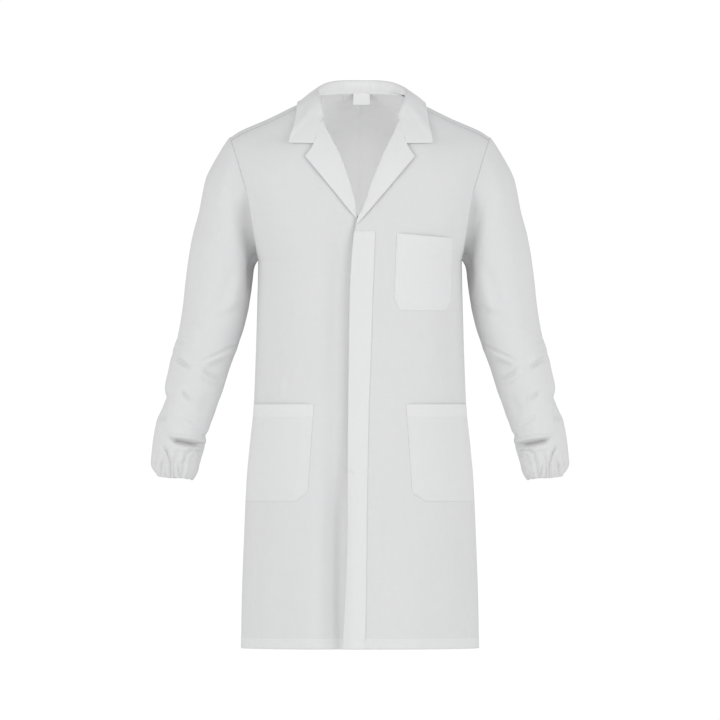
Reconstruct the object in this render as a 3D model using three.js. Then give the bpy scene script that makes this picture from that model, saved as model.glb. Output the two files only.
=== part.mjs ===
// Lab coat, hanging as if on an upright body: notched lapels, concealed front
// placket, one chest pocket, two hip pockets, set-in sleeves with gathered
// elastic cuffs.
// Millimetres. +Z up, the coat faces -Y, +X is the wearer's left.
// Origin: the neck seam at the centre back, where the coat is hung or worn.
import * as THREE from 'three';

// ------------------------------------------------------------ driving sizes
const CLOTH = 1.2;            // modelled thickness of one cloth panel
const SEAM_GAP = 0.45;        // half of the gap left along a seam
const HEM_Z = -1043;          // bottom edge of the coat
const HEM_BAND = 20;          // height of the turned-up hem
const ARMPIT_Z = -316;        // underarm point
const SHOULDER_Z = -84;       // shoulder point
const ARMPIT_X = 191;
const SHOULDER_X = 244;
const ARM_DEPTH = 62;         // half depth of the armhole, front to back
const WAIST_CUT_Z = -255;     // where the swinging front begins, below the lapel
const SIDE_CUT_Z = -460;      // where it begins beside the side seam
const UNDERLAP = 7;           // how far the right front lies behind the left
const POCKET_PROUD = 10;      // how far a pocket stands off the front
const BUTTON_R = 9, BUTTON_T = 2.4;
const BUTTON_Z = [-300, -440, -580, -720, -860];
const CHEST_POCKET = { x0: 70, x1: 173, top0: -265, top1: -273.5, bottom: -408, cut: 20 };
const HIP_POCKET = { x0: 86.5, x0b: 99, a1: 84.5, top: -585, bottom: -767, cut: 20 };
const LABEL = { x: 3, w: 31, h: 22, t: 0.5, y: 59.5, z: -1.5 };

// Shoulder ridge height over the half width
const RIDGE = [[0, 16], [30, 13], [55, 6], [81, -5], [100, -14], [130, -28], [152, -39], [177, -51], [203, -62], [227, -73], [244, -84], [270, -97]];
// Half width of the body below the armpit
const WIDTH = [[-1050, 223.6], [-953, 222], [-840, 218], [-728, 213], [-671, 208], [-587, 199.5], [-474, 195], [-420, 193.4], [-360, 191.8], [-316, 191]];
// Depth from the side seam plane to the centre front and the centre back
const DEPTH_F = [[-1050, 142], [-900, 138], [-700, 130], [-520, 125], [-255, 125], [-231, 123], [-160, 112], [-100, 99], [-50, 86], [0, 72], [40, 62]];
const DEPTH_B = [[-1050, 142], [-900, 138], [-700, 129], [-520, 122], [-300, 122], [-200, 121], [-150, 119], [-100, 116], [-42, 110], [0, 102], [40, 95]];
// Height over which the cloth rounds over the shoulder
const ROUND_F = [[0, 150], [81, 140], [244, 116], [270, 116]];
const ROUND_B = [[0, 70], [81, 90], [160, 108], [244, 116], [270, 116]];
// Fullness of the horizontal section: 2 is an ellipse, more is squarer
const FULL = [[-1050, 2.25], [-700, 2.4], [-420, 2.7], [-200, 2.7], [0, 2.4], [40, 2.3]];
// Inner edge of the fronts, from the shoulder down the roll line
const ROLL = [[-255, -12], [-239, -8], [-226, -1], [-201, 11], [-163, 25], [-115, 45], [-49, 75], [-25, 81], [-5, 84.5], [10, 86]];
// Edges of the placket, and the hidden edge of the right front (own side positive)
const PLACKET_EDGE = [[-1050, -31.8], [-1038, -31.4], [-940, -26.3], [-816, -22.6], [-690, -22.6], [-502, -20.7], [-376, -18.8], [-290, -13.7], [-239, -8]];
const PLACKET_STITCH = [[-1050, 9], [-940, 11.3], [-816, 12.6], [-690, 14.5], [-564, 17.5], [-502, 20], [-376, 23.9], [-263, 28.2], [-200, 29]];
// Sleeve sections: outer point, inner point (half plane y = 0), half depth
const SLEEVE = [
  [0.00, 244.0, -86.5, 192.2, -313.4, 60.5],
  [0.05, 263, -112, 195.5, -323, 63],
  [0.12, 289.5, -163, 199, -340, 65],
  [0.20, 301, -220, 203, -362, 65],
  [0.29, 316, -276, 207, -388, 63],
  [0.38, 325, -333, 213, -420, 60],
  [0.47, 331, -389, 222, -453, 57],
  [0.56, 340, -446, 234, -487, 54],
  [0.65, 352, -488, 248, -528, 51],
  [0.73, 363, -532, 261, -566, 48],
  [0.81, 374, -580, 274, -602, 46],
  [0.88, 382, -618, 285, -635, 45],
  [0.94, 389, -655, 292, -665, 44],
  [1.00, 393, -694, 302, -699, 41],
];
const CUFF = { top: [392.5, -695.4, 302.6, -700.4, 40.8], end: [381, -720, 314, -726, 34] };

// ---------------------------------------------------------------- utilities
function curve(tab) {            // smooth monotone interpolation of a table
  const n = tab.length, x = tab.map(p => p[0]), y = tab.map(p => p[1]);
  const d = [], m = [];
  for (let i = 0; i < n - 1; i++) d.push((y[i + 1] - y[i]) / (x[i + 1] - x[i]));
  m.push(d[0]);
  for (let i = 1; i < n - 1; i++) m.push(d[i - 1] * d[i] <= 0 ? 0 : 2 * d[i - 1] * d[i] / (d[i - 1] + d[i]));
  m.push(d[n - 2]);
  return t => {
    if (t <= x[0]) return y[0] + m[0] * (t - x[0]);
    if (t >= x[n - 1]) return y[n - 1] + m[n - 1] * (t - x[n - 1]);
    let i = 0; while (t > x[i + 1]) i++;
    const h = x[i + 1] - x[i], s = (t - x[i]) / h;
    return (2 * s ** 3 - 3 * s ** 2 + 1) * y[i] + (s ** 3 - 2 * s ** 2 + s) * h * m[i]
      + (-2 * s ** 3 + 3 * s ** 2) * y[i + 1] + (s ** 3 - s ** 2) * h * m[i + 1];
  };
}
const mix = (a, b, t) => a + (b - a) * t;
const step = (a, b, t) => { const s = Math.min(1, Math.max(0, (t - a) / (b - a))); return s * s * (3 - 2 * s); };
const V3 = (x, y, z) => new THREE.Vector3(x, y, z);
const range = (a, b, n) => Array.from({ length: n + 1 }, (_, i) => a + (b - a) * i / n);

// -------------------------------------------------------------- body surface
const ridge0 = curve(RIDGE), ridge = x => ridge0(Math.abs(x));
const width0 = curve(WIDTH);
const slope = (SHOULDER_X - ARMPIT_X) / (SHOULDER_Z - ARMPIT_Z);
const halfWidth = z => z > ARMPIT_Z ? ARMPIT_X + slope * (z - ARMPIT_Z) : width0(z);
const depthF = curve(DEPTH_F), depthB = curve(DEPTH_B);
const roundF = curve(ROUND_F), roundB = curve(ROUND_B);
const roll = curve(ROLL), full = curve(FULL);
const zc = (SHOULDER_Z + ARMPIT_Z) / 2, zr = (SHOULDER_Z - ARMPIT_Z) / 2;
const edgeDepth = z => z >= zc ? ARM_DEPTH : z <= ARMPIT_Z ? 0 : ARM_DEPTH * Math.sqrt(1 - ((z - zc) / zr) ** 2);
const over = t => t >= 1 ? 1 : t <= 0 ? 0 : Math.sqrt(1 - (1 - t) ** 2);
function belly(x, z, b) {         // share of the full depth at this x
  const n = full(z), cm = Math.min(0.98, edgeDepth(z) / b) ** n, sm = (1 - cm) ** (1 / n);
  const s = Math.min(1, Math.abs(x) / halfWidth(z) * sm);
  return (1 - s ** n) ** (1 / n);
}
const frontY = (x, z) => -depthF(z) * belly(x, z, depthF(z)) * over((ridge(x) - z) / roundF(Math.abs(x)));
const backY = (x, z) => depthB(z) * belly(x, z, depthB(z)) * over((ridge(x) - z) / roundB(Math.abs(x)));
function bodyF(p) {               // > 0 outside the body surface
  const b = p.y < 0 ? depthF(p.z) : depthB(p.z);
  const r = p.y < 0 ? roundF(Math.abs(p.x)) : roundB(Math.abs(p.x));
  const t = (ridge(p.x) - p.z) / r;
  const c = Math.max(0.05, belly(p.x, p.z, b));
  return Math.hypot(p.y / (b * c), Math.max(0, 1 - t)) - 1;
}
function clearOf(p, gap) {        // move a point out to a given gap from the body
  const q = p.clone();
  for (let k = 0; k < 6; k++) {
    const f = bodyF(q), e = 0.5;
    const g = V3(bodyF(V3(q.x + e, q.y, q.z)) - bodyF(V3(q.x - e, q.y, q.z)),
      bodyF(V3(q.x, q.y + e, q.z)) - bodyF(V3(q.x, q.y - e, q.z)),
      bodyF(V3(q.x, q.y, q.z + e)) - bodyF(V3(q.x, q.y, q.z - e))).divideScalar(2 * e);
    const l = g.length(); if (l < 1e-6) break;
    const d = f / l;
    if (d >= gap - 1e-3) break;
    q.addScaledVector(g, (gap - d) / l);
  }
  return q;
}

// ------------------------------------------------------------- solid building
const root = new THREE.Group();
root.name = 'lab_coat';
function solid(name, verts, tris, mat) {
  let vol = 0;
  for (const [a, b, c] of tris) vol += verts[a].dot(V3().crossVectors(verts[b], verts[c]));
  const t = vol < 0 ? tris.map(([a, b, c]) => [a, c, b]) : tris;
  const g = new THREE.BufferGeometry();
  g.setAttribute('position', new THREE.BufferAttribute(new Float32Array(verts.flatMap(v => [v.x, v.y, v.z])), 3));
  g.setIndex(t.flat());
  g.computeVertexNormals();
  const m = new THREE.Mesh(g, mat.clone());
  m.name = name;
  root.add(m);
}
// Two matching grids of points become one closed shell. ring: the first index wraps round.
function shell(name, A, B, mat, ring = false) {
  const n = A.length, m = A[0].length, verts = [], tris = [];
  const id = (k, i, j) => k * n * m + (i % n) * m + j;
  for (const G of [A, B]) for (let i = 0; i < n; i++) for (let j = 0; j < m; j++) verts.push(G[i][j]);
  const quad = (a, b, c, d) => tris.push([a, b, c], [a, c, d]);
  const ni = ring ? n : n - 1;
  for (let i = 0; i < ni; i++) for (let j = 0; j < m - 1; j++) {
    quad(id(0, i, j), id(0, i + 1, j), id(0, i + 1, j + 1), id(0, i, j + 1));
    tris.push([id(1, i, j), id(1, i + 1, j + 1), id(1, i + 1, j)], [id(1, i, j), id(1, i, j + 1), id(1, i + 1, j + 1)]);
  }
  for (let i = 0; i < ni; i++) {
    quad(id(0, i + 1, 0), id(0, i, 0), id(1, i, 0), id(1, i + 1, 0));
    quad(id(0, i, m - 1), id(0, i + 1, m - 1), id(1, i + 1, m - 1), id(1, i, m - 1));
  }
  if (!ring) for (let j = 0; j < m - 1; j++) {
    quad(id(0, 0, j), id(0, 0, j + 1), id(1, 0, j + 1), id(1, 0, j));
    quad(id(0, n - 1, j + 1), id(0, n - 1, j), id(1, n - 1, j), id(1, n - 1, j + 1));
  }
  solid(name, verts, tris, mat);
}
// A cloth sheet: f(u, v) gives its middle surface, lo and hi its faces along the
// outward normal; out(p) is a direction that points outwards near p.
function sheet(name, f, us, vs, lo, hi, mat, out) {
  const num = (k, u, v) => typeof k === 'function' ? k(u, v) : k;
  const du = (us[us.length - 1] - us[0]) * 0.004, dv = (vs[vs.length - 1] - vs[0]) * 0.004;
  const A = [], B = [];
  for (const u of us) {
    const ra = [], rb = [];
    for (const v of vs) {
      const u0 = Math.max(us[0], u - du), u1 = Math.min(us[us.length - 1], u + du);
      const v0 = Math.max(vs[0], v - dv), v1 = Math.min(vs[vs.length - 1], v + dv);
      const n = V3().crossVectors(f(u1, v).sub(f(u0, v)), f(u, v1).sub(f(u, v0))).normalize();
      const p = f(u, v);
      if (n.dot(out(p)) < 0) n.negate();
      ra.push(p.clone().addScaledVector(n, num(hi, u, v)));
      rb.push(p.clone().addScaledVector(n, num(lo, u, v)));
    }
    A.push(ra); B.push(rb);
  }
  shell(name, A, B, mat);
}
const fromAxis = p => V3(p.x, p.y, 0);
const fromBody = p => V3(p.x * 0.4, p.y, p.z > -110 ? 40 : 0);
const flipX = p => V3(-p.x, p.y, p.z);

const material = (c, r, m = 0) => new THREE.MeshStandardMaterial({ color: new THREE.Color(...c), roughness: r, metalness: m });
const cloth = material([0.74, 0.745, 0.75], 0.9);
const clothDouble = material([0.82, 0.82, 0.825], 0.9);
const lining = material([0.7, 0.7, 0.7], 0.95);
const elasticMat = material([0.86, 0.86, 0.84], 0.8);
const buttonMat = material([0.88, 0.88, 0.87], 0.35);
const labelMat = material([0.9, 0.9, 0.9], 0.7);
const T = CLOTH / 2;

for (const side of [1, -1]) {
  const S = side > 0 ? 'left' : 'right';
  const fl = p => side > 0 ? p : flipX(p);
  // how far this front lies behind the other one, near the centre
  const tuck = (x, z) => side > 0 ? 0 : -UNDERLAP * (1 - step(36, 84, x)) * step(-196, -232, z);
  const cutZ = (x, at) => x <= at ? WAIST_CUT_Z : x >= at + 9 ? SIDE_CUT_Z : mix(WAIST_CUT_Z, SIDE_CUT_Z, (x - at) / 9);
  const colU = (x, x0, x1) => Math.asin((x - x0) / (x1 - x0)) * 2 / Math.PI;   // column that meets x

  // ---- back panel, from the hem over the shoulder ridge to the front seam
  const seamDrop = 6;
  const backLevels = [0, 0.02, 0.14, 0.2836, 0.2945, 0.335, 0.46, 0.58, 0.699, 0.76, 0.83, 0.89, 0.94, 0.975, 1, 1.3, 2];
  const vent = z => side < 0 ? step(-737, -747.5, z) : 0;       // sideways reach
  const ventIn = z => side < 0 ? step(-697, -735, z) : 0;      // lies behind the other panel
  const neckZ = x => -3 - 5.5 * step(0, 84, x);
  const backAt = (u, v) => {
    if (v <= 0.699) {
      const z = mix(HEM_Z, ARMPIT_Z, v / 0.699);
      const x0 = SEAM_GAP - vent(z) * 25;
      const a = u * Math.PI / 2;
      const x = x0 + (halfWidth(z) - x0) * Math.sin(a);
      return V3(x, backY(x, z) + SEAM_GAP - ventIn(z) * 3.4 * (1 - step(0, 34, x)), z);
    }
    if (v > 1) {                   // past the ridge, down to the shoulder seam
      const x = mix(SEAM_GAP, SHOULDER_X - 0.6, u);
      if (x < 84.5) return V3(x, backY(x, neckZ(x)) + SEAM_GAP, neckZ(x) + 0.5 * (v - 1));
      const z = ridge(x) - 0.3 - (seamDrop - 0.6) * (v - 1);
      return V3(x, frontY(x, z) + SEAM_GAP, z);
    }
    const t = (v - 0.699) / 0.301;
    const xt = mix(SEAM_GAP, SHOULDER_X - 0.5, u);
    const zt = xt < 84.5 ? neckZ(xt) : ridge(xt) - 0.3;
    const z = mix(ARMPIT_Z, zt, t);
    const ub = Math.sin(u * Math.PI / 2);
    const xe = halfWidth(mix(ARMPIT_Z, SHOULDER_Z - 0.5, t)) - 0.6;
    const x = mix(SEAM_GAP, xe, mix(ub, u, t));
    return V3(x, backY(x, z) + SEAM_GAP, z);
  };
  const usB = [0, 0.07, 0.14, 0.21, 0.28, 0.35, 0.44, 0.56, 0.68, 0.8, 0.9, 0.96, 1];
  sheet(`${S}_back_panel`, (u, v) => fl(backAt(u, v)), usB, backLevels, -T, T, cloth, fromBody);

  // ---- front chest: everything of the front that stays with the body
  const chestAt = (u, v) => {
    // u across from the roll line to the armhole, v up from the cut to the shoulder seam
    const xb = mix(roll(WAIST_CUT_Z), halfWidth(SIDE_CUT_Z), Math.sin(u * Math.PI / 2));
    const zb = cutZ(xb, 177.01);
    const xt = mix(roll(-5), SHOULDER_X - 0.6, u);
    const zt = ridge(xt) - seamDrop;
    const z = mix(zb, zt, v);
    const zin = mix(WAIST_CUT_Z, zt, v);
    const zout = mix(SIDE_CUT_Z, SHOULDER_Z - seamDrop, v);
    const xin = roll(mix(WAIST_CUT_Z, ridge(84.5) - seamDrop, v));
    const xout = halfWidth(zout) - (zout > ARMPIT_Z ? 0.6 : 0);
    const w = mix(Math.sin(u * Math.PI / 2), u, step(0.5, 1, v));
    const x = mix(xin, xout, w);
    return V3(x, frontY(x, z) - SEAM_GAP - tuck(x, z), z);
  };
  const vArm = (ARMPIT_Z - SIDE_CUT_Z) / (SHOULDER_Z - seamDrop - SIDE_CUT_Z);
  const cc = x => colU(x, roll(WAIST_CUT_Z), halfWidth(SIDE_CUT_Z));
  const usC = [0, cc(24), cc(54), cc(84), cc(112), cc(138), cc(159), cc(177), cc(180), cc(183), cc(186.02), cc(190.5), cc(193.6), 1];
  const vsC = [0, 0.13, 0.26, vArm, 0.48, 0.58, 0.68, 0.78, 0.87, 0.94, 1];
  sheet(`${S}_front_chest`, (u, v) => fl(chestAt(u, v)), usC, vsC, -T, T, cloth, fromBody);

  // ---- swinging front
  const zRows = [0, 0.02, 0.13, 0.29, 0.45, 0.58, 0.7, 0.81, 0.92, 1];
  const edge = side > 0 ? z => curve(PLACKET_STITCH)(z) + 0.4 : z => -(curve(PLACKET_STITCH)(z) - 4);
  const skirtAt = (u, v) => {
    const topX = mix(edge(WAIST_CUT_Z), halfWidth(SIDE_CUT_Z), Math.sin(u * Math.PI / 2));
    const z = mix(HEM_Z, cutZ(topX, 171.01) - 0.9, v);
    const x = mix(edge(z), halfWidth(Math.min(z, ARMPIT_Z)), Math.sin(u * Math.PI / 2));
    return V3(x, frontY(x, z) - SEAM_GAP - tuck(x, z), z);
  };
  const sc = x => colU(x, edge(WAIST_CUT_Z), halfWidth(SIDE_CUT_Z));
  const e0 = edge(WAIST_CUT_Z);
  const usS = [0, ...[0.16, 0.32, 0.48, 0.62, 0.75, 0.86].map(k => sc(mix(e0, 171, k))), sc(171), sc(174), sc(177), sc(180.02), sc(188), sc(193), 1];
  sheet(`${S}_front_skirt`, (u, v) => fl(skirtAt(u, v)), usS, zRows, -T, T, cloth, fromAxis);

  const strip = (x0, x1, zLo, zHi, dy) => (u, v) => {
    const z = mix(zLo, zHi, v), x = mix(x0(z), x1(z), u);
    return fl(V3(x, frontY(x, z) - SEAM_GAP - tuck(x, z) - dy, z));
  };
  const pe = curve(PLACKET_EDGE), ps = curve(PLACKET_STITCH);
  if (side > 0) {
    sheet('left_placket', strip(pe, z => ps(z) - 0.4, HEM_Z, -258, 0), [0, 0.33, 0.66, 1], zRows, -T, T + 0.8, clothDouble, fromAxis);
    sheet('left_fly_strip', strip(z => pe(z) + 3, z => ps(z) - 3, HEM_Z + 40, -270, 0), [0, 0.33, 0.66, 1], zRows, -2.2, -1.3, clothDouble, fromAxis);
  } else {
    sheet('right_front_facing', strip(z => edge(z) + 1, z => edge(z) + 58, HEM_Z + 2, -262, 0), [0, 0.2, 0.4, 0.6, 0.8, 1], zRows, -2.4, -1.4, clothDouble, fromAxis);
    BUTTON_Z.forEach((z, i) => {
      const x = 3, y = frontY(x, z) - SEAM_GAP + UNDERLAP - T - 0.6;
      const r = BUTTON_R, t = BUTTON_T;
      const pts = [[0, 0], [r - 1, 0], [r, 0.8], [r, t - 0.6], [r - 0.8, t], [r - 2.4, t], [r - 3.2, t - 0.8], [0, t - 0.8]].map(p => new THREE.Vector2(...p));
      const g = new THREE.LatheGeometry(pts, 16);
      const verts = [], tris = [], key = new Map(), map = [];
      const pos = g.attributes.position;
      for (let k = 0; k < pos.count; k++) {
        const s = [pos.getX(k), pos.getY(k), pos.getZ(k)].map(n => (Math.round(n * 1e4) / 1e4 + 0).toString()).join();
        if (!key.has(s)) { key.set(s, verts.length); verts.push(V3(pos.getX(k), -pos.getY(k), pos.getZ(k)).add(V3(-x, y, z))); }
        map.push(key.get(s));
      }
      for (let k = 0; k < g.index.count; k += 3) {
        const q = [0, 1, 2].map(m => map[g.index.getX(k + m)]);
        if (new Set(q).size === 3) tris.push(q);
      }
      solid(`button_${i + 1}`, verts, tris, buttonMat);
    });
  }

  // ---- pockets: a shallow pouch sewn round three sides, open at the top
  const pouch = (name, xAt, zb, zt) => {
    const us = [0, 0.08, 0.22, 0.41, 0.59, 0.78, 0.92, 1], vs = [0, 0.055, 0.35, 0.68, 1];
    const rise = (u, v) => {
      const e = Math.min(1, Math.min(u, 1 - u) / 0.08), b = Math.min(1, v / 0.055);
      return 2.4 + (POCKET_PROUD - 2.4) * Math.min(e, b);
    };
    const f = (u, v) => {
      const z = mix(zb(u), zt(u), v), x = xAt(u, z);
      return fl(V3(x, frontY(x, z) - SEAM_GAP - tuck(x, z), z));
    };
    sheet(name, f, us, vs, (u, v) => rise(u, v) - T, (u, v) => rise(u, v) + T, clothDouble, fromAxis);
  };
  if (side > 0) {
    const c = CHEST_POCKET;
    pouch('chest_pocket', u => mix(c.x0, c.x1, u),
      u => c.bottom + 11 * Math.max(0, 1 - Math.min(u, 1 - u) / 0.09), u => mix(c.top0, c.top1, u));
  }
  const q = HIP_POCKET;
  pouch(`${S}_hip_pocket`, (u, z) => {
    const w = halfWidth(z), x0 = mix(q.x0b, q.x0, (z - q.bottom) / (q.top - q.bottom));
    return w * Math.sin(mix(Math.asin(x0 / w), q.a1 * Math.PI / 180, u));
  }, u => q.bottom + 16 * Math.max(0, 1 - u / 0.09) + 6 * Math.max(0, 1 - (1 - u) / 0.09), () => q.top);

  // ---- lapel, turned out over the chest
  const lapelOut = curve([[0, 87.5], [0.17, 104], [0.6, 40], [1, 3]]);
  const lapelOutZ = curve([[0, -102.5], [0.17, -122.5], [0.6, -185], [1, -226]]);
  const lapelIn = v => mix(-59, -222, v);
  const lapelAt = (u, v) => {
    const zi = lapelIn(v), xi = roll(zi) + 0.5;
    const x = mix(xi, lapelOut(v), u), z = mix(zi, lapelOutZ(v), u);
    return V3(x, frontY(x, z) - SEAM_GAP - tuck(x, z), z);
  };
  sheet(`${S}_lapel`, (u, v) => fl(lapelAt(u, v)), [0, 0.3, 0.6, 1], [0, 0.085, 0.17, 0.3, 0.45, 0.6, 0.8, 1], 2.0, 3.6, clothDouble, fromBody);

  // ---- sleeve
  const sec = [1, 2, 3, 4, 5].map(k => curve(SLEEVE.map(r => [r[0], r[k]])));
  const ringPoint = ([ox, oz, ix, iz, d], a, grow = 0) => {
    const cx = (ox + ix) / 2, cz = (oz + iz) / 2, hx = (ox - ix) / 2, hz = (oz - iz) / 2;
    const L = Math.hypot(hx, hz), k = (L + grow) / L;
    return V3(cx + hx * k * Math.cos(a), -(d + grow) * Math.sin(a), cz + hz * k * Math.cos(a));
  };
  const N = 14;
  const angles = Array.from({ length: N }, (_, i) => 2 * Math.PI * i / N);
  const stations = [0, 0.05, 0.13, 0.24, 0.36, 0.48, 0.6, 0.73, 0.87, 1];
  const section = s => sec.map(f => f(s));
  const nArm = V3(1, 0, -slope).normalize();
  const tube = (name, secs, lo, hi, mat) => {
    const A = [], B = [];
    for (const a of angles) {
      A.push(secs.map((s, k) => fl(ringPoint(s, a, hi).addScaledVector(nArm, k === 0 && name.endsWith('sleeve') ? 0.8 : 0))));
      B.push(secs.map((s, k) => fl(ringPoint(s, a, lo).addScaledVector(nArm, k === 0 && name.endsWith('sleeve') ? 0.8 : 0))));
    }
    shell(name, A, B, mat, true);
  };
  tube(`${S}_sleeve`, stations.map(section), -T, T, cloth);
  // cuff: a turned-up casing, open along its upper edge, with the elastic inside it
  const cuffAt = t => CUFF.top.map((v, k) => mix(v, CUFF.end[k], t));
  const profile = [[0, 1.9], [0.5, 1.9], [1, 1.9], [1.0, -1.9], [0.5, -1.9], [0, -1.9],
    [0, -1.1], [0.5, -1.1], [0.96, -1.1], [0.96, 1.1], [0.5, 1.1], [0, 1.1]];
  const loopSolid = (name, prof, mat) => {
    const n = N, m = prof.length, verts = [], tris = [];
    for (const a of angles) for (const [t, g] of prof) verts.push(fl(ringPoint(cuffAt(t), a, g)));
    for (let i = 0; i < n; i++) for (let j = 0; j < m; j++) {
      const a = i * m + j, b = ((i + 1) % n) * m + j, c = ((i + 1) % n) * m + (j + 1) % m, d = i * m + (j + 1) % m;
      tris.push([a, b, c], [a, c, d]);
    }
    solid(name, verts, tris, mat);
  };
  loopSolid(`${S}_cuff_casing`, profile, clothDouble);
  loopSolid(`${S}_cuff_elastic`, [[0.12, 0.6], [0.5, 0.6], [0.88, 0.6], [0.88, -0.6], [0.5, -0.6], [0.12, -0.6]], elasticMat);
}

// ---- collar: stand and fall folded over a roll edge, in three layers
// stations from the centre back to the gorge: neck seam, roll edge, outer edge
const COLLAR = [
  //   N: neck seam            R: roll edge            E: outer edge
  [[0, 62.5, 0.5], [0, 66, 23.5], [0, 112, -42]],
  [[26, 57.5, 0.2], [27, 61, 23.2], [40, 108, -43]],
  [[50, 43.5, -1], [51, 46.5, 21], [74, 88, -42]],
  [[68, 26, -2.5], [69.5, 28, 14.5], [103, 52, -34]],
  [[79.5, 3, -3.5], [81, 3, 5], [120, 2, -20]],
  [[78.5, -18, -9], [80, -20, -3], [126, -34, -36]],
  [[75, -40, -22.5], [76.5, -42, -17], [129.5, -62, -66]],
  [[71.5, -52, -35], [73, -54.5, -30.5], [131, -76, -93]],
  [[67, -61, -50.5], [70, -64.5, -48], [87, -84, -95.5]],
];
const cs = [0, 1, 2].map(k => [0, 1, 2].map(ax => curve(COLLAR.map((r, i) => [i / 8, r[k][ax]]))));
const key = (k, s) => {
  const p = V3(...cs[k].map(f => f(Math.abs(s))));
  if (s < 0) p.x = -p.x;
  return p;
};
function collarAt(s, w) {          // w: 0 neck seam, 0.34 roll edge, 1 outer edge
  const N = key(0, s), R = key(1, s), E = key(2, s);
  const outDir = E.clone().sub(R); outDir.z = 0; outDir.normalize();
  const bulge = 1 - Math.abs(s) * 0.6;
  let p;
  if (w < 0.26) p = N.clone().lerp(R.clone().addScaledVector(outDir, -1.4).add(V3(0, 0, -1.6)), w / 0.26);
  else if (w < 0.34) p = R.clone().addScaledVector(outDir, -1.4).add(V3(0, 0, -1.6)).lerp(R, (w - 0.26) / 0.08);
  else if (w < 0.42) p = R.clone().lerp(R.clone().addScaledVector(outDir, 1.8).add(V3(0, 0, -1.4)), (w - 0.34) / 0.08);
  else {
    const t = (w - 0.42) / 0.58, A = R.clone().addScaledVector(outDir, 1.8).add(V3(0, 0, -1.4));
    p = A.lerp(E, t).addScaledVector(outDir, 8 * bulge * t * (1 - t)).add(V3(0, 0, 5 * bulge * t * (1 - t)));
    p = clearOf(p, 2.0 + 1.0 * t);
  }
  return p;
}
const sAll = [];
for (let i = -11; i <= 11; i++) sAll.push(i / 11);
const wAll = [0, 0.26, 0.34, 0.42, 0.7, 1];
const collarLayer = (name, d, mat, trim) => {
  const f = (s, w) => collarAt(s * (1 - trim), w);
  const A = [], B = [];
  for (const s of sAll) {
    const ra = [], rb = [];
    for (const w of wAll) {
      const e = 0.01, sa = Math.max(-1, s - e), sb = Math.min(1, s + e), wa = Math.max(0, w - 0.02), wb = Math.min(1, w + 0.02);
      const n = V3().crossVectors(f(sb, w).sub(f(sa, w)), f(s, wb).sub(f(s, wa))).normalize();
      ra.push(f(s, w).addScaledVector(n, d + 0.4));
      rb.push(f(s, w).addScaledVector(n, d - 0.4));
    }
    A.push(ra); B.push(rb);
  }
  shell(name, A, B, mat);
};
collarLayer('under_collar', 0, clothDouble, 0);
collarLayer('collar_interlining', 1.7, lining, 0.012);
collarLayer('upper_collar', 3.4, clothDouble, 0);

// ---- neck tape, over the neck seam inside the back, and the label hanging from it
const tapeAt = (u, v) => {
  const x = mix(-52, 52, u), z = mix(-14, -4, v) - 4 * step(0, 84, Math.abs(x));
  return V3(x, backY(x, z) + SEAM_GAP, z);
};
sheet('neck_tape', tapeAt, range(0, 1, 18), [0, 0.5, 1], -3.9, -3.1, clothDouble, fromBody);
const L = LABEL;
sheet('neck_label', (u, v) => V3(L.x + mix(-L.w / 2, L.w / 2, u), L.y, L.z - L.h * (1 - v)), [0, 0.5, 1], [0, 0.5, 1], -L.t / 2, L.t / 2, labelMat, () => V3(0, -1, 0));

export default root;
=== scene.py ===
import math
import bpy
import numpy as np
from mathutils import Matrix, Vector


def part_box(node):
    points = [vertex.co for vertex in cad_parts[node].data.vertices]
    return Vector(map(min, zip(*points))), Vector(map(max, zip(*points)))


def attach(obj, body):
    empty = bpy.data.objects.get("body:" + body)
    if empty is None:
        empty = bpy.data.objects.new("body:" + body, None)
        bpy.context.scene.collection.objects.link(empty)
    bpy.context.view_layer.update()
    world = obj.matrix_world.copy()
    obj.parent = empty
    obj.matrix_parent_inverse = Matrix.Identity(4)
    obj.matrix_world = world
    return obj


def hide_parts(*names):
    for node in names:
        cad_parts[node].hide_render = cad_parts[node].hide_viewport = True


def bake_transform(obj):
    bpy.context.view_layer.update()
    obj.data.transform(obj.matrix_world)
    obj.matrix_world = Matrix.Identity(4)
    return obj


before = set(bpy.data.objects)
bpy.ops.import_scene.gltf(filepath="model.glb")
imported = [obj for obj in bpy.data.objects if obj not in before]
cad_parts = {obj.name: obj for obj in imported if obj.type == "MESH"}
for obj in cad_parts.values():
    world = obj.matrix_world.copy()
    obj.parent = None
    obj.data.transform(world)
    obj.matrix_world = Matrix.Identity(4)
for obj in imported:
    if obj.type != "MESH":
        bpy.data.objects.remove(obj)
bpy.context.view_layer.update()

# Lab coat, all tables in millimetres as in the CAD part; meshes are scaled to metres when made.
MM = 0.001
HEM_Z, HEM_BAND = -1043.0, 20.0
ARMPIT_Z, SHOULDER_Z, ARMPIT_X, SHOULDER_X, ARM_DEPTH = -316.0, -84.0, 191.0, 244.0, 62.0
SEAM_DROP = 6.0
RIDGE = [[0, 16], [30, 13], [55, 6], [81, -5], [100, -14], [130, -28], [152, -39], [177, -51], [203, -62], [227, -73], [244, -84], [270, -97]]
WIDTH = [[-1050, 223.6], [-953, 222], [-840, 218], [-728, 213], [-671, 208], [-587, 199.5], [-474, 195], [-420, 193.4], [-360, 191.8], [-316, 191]]
DEPTH_F = [[-1050, 142], [-900, 138], [-700, 130], [-520, 125], [-255, 125], [-231, 123], [-160, 112], [-100, 99], [-50, 86], [0, 72], [40, 62]]
DEPTH_B = [[-1050, 142], [-900, 138], [-700, 129], [-520, 122], [-300, 122], [-200, 121], [-150, 119], [-100, 116], [-42, 110], [0, 102], [40, 95]]
FULL = [[-1050, 2.25], [-700, 2.4], [-420, 2.7], [-200, 2.7], [0, 2.4], [40, 2.3]]
ROUND_F = [[0, 150], [81, 140], [244, 116], [270, 116]]
ROUND_B = [[0, 70], [81, 90], [160, 108], [244, 116], [270, 116]]
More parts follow.
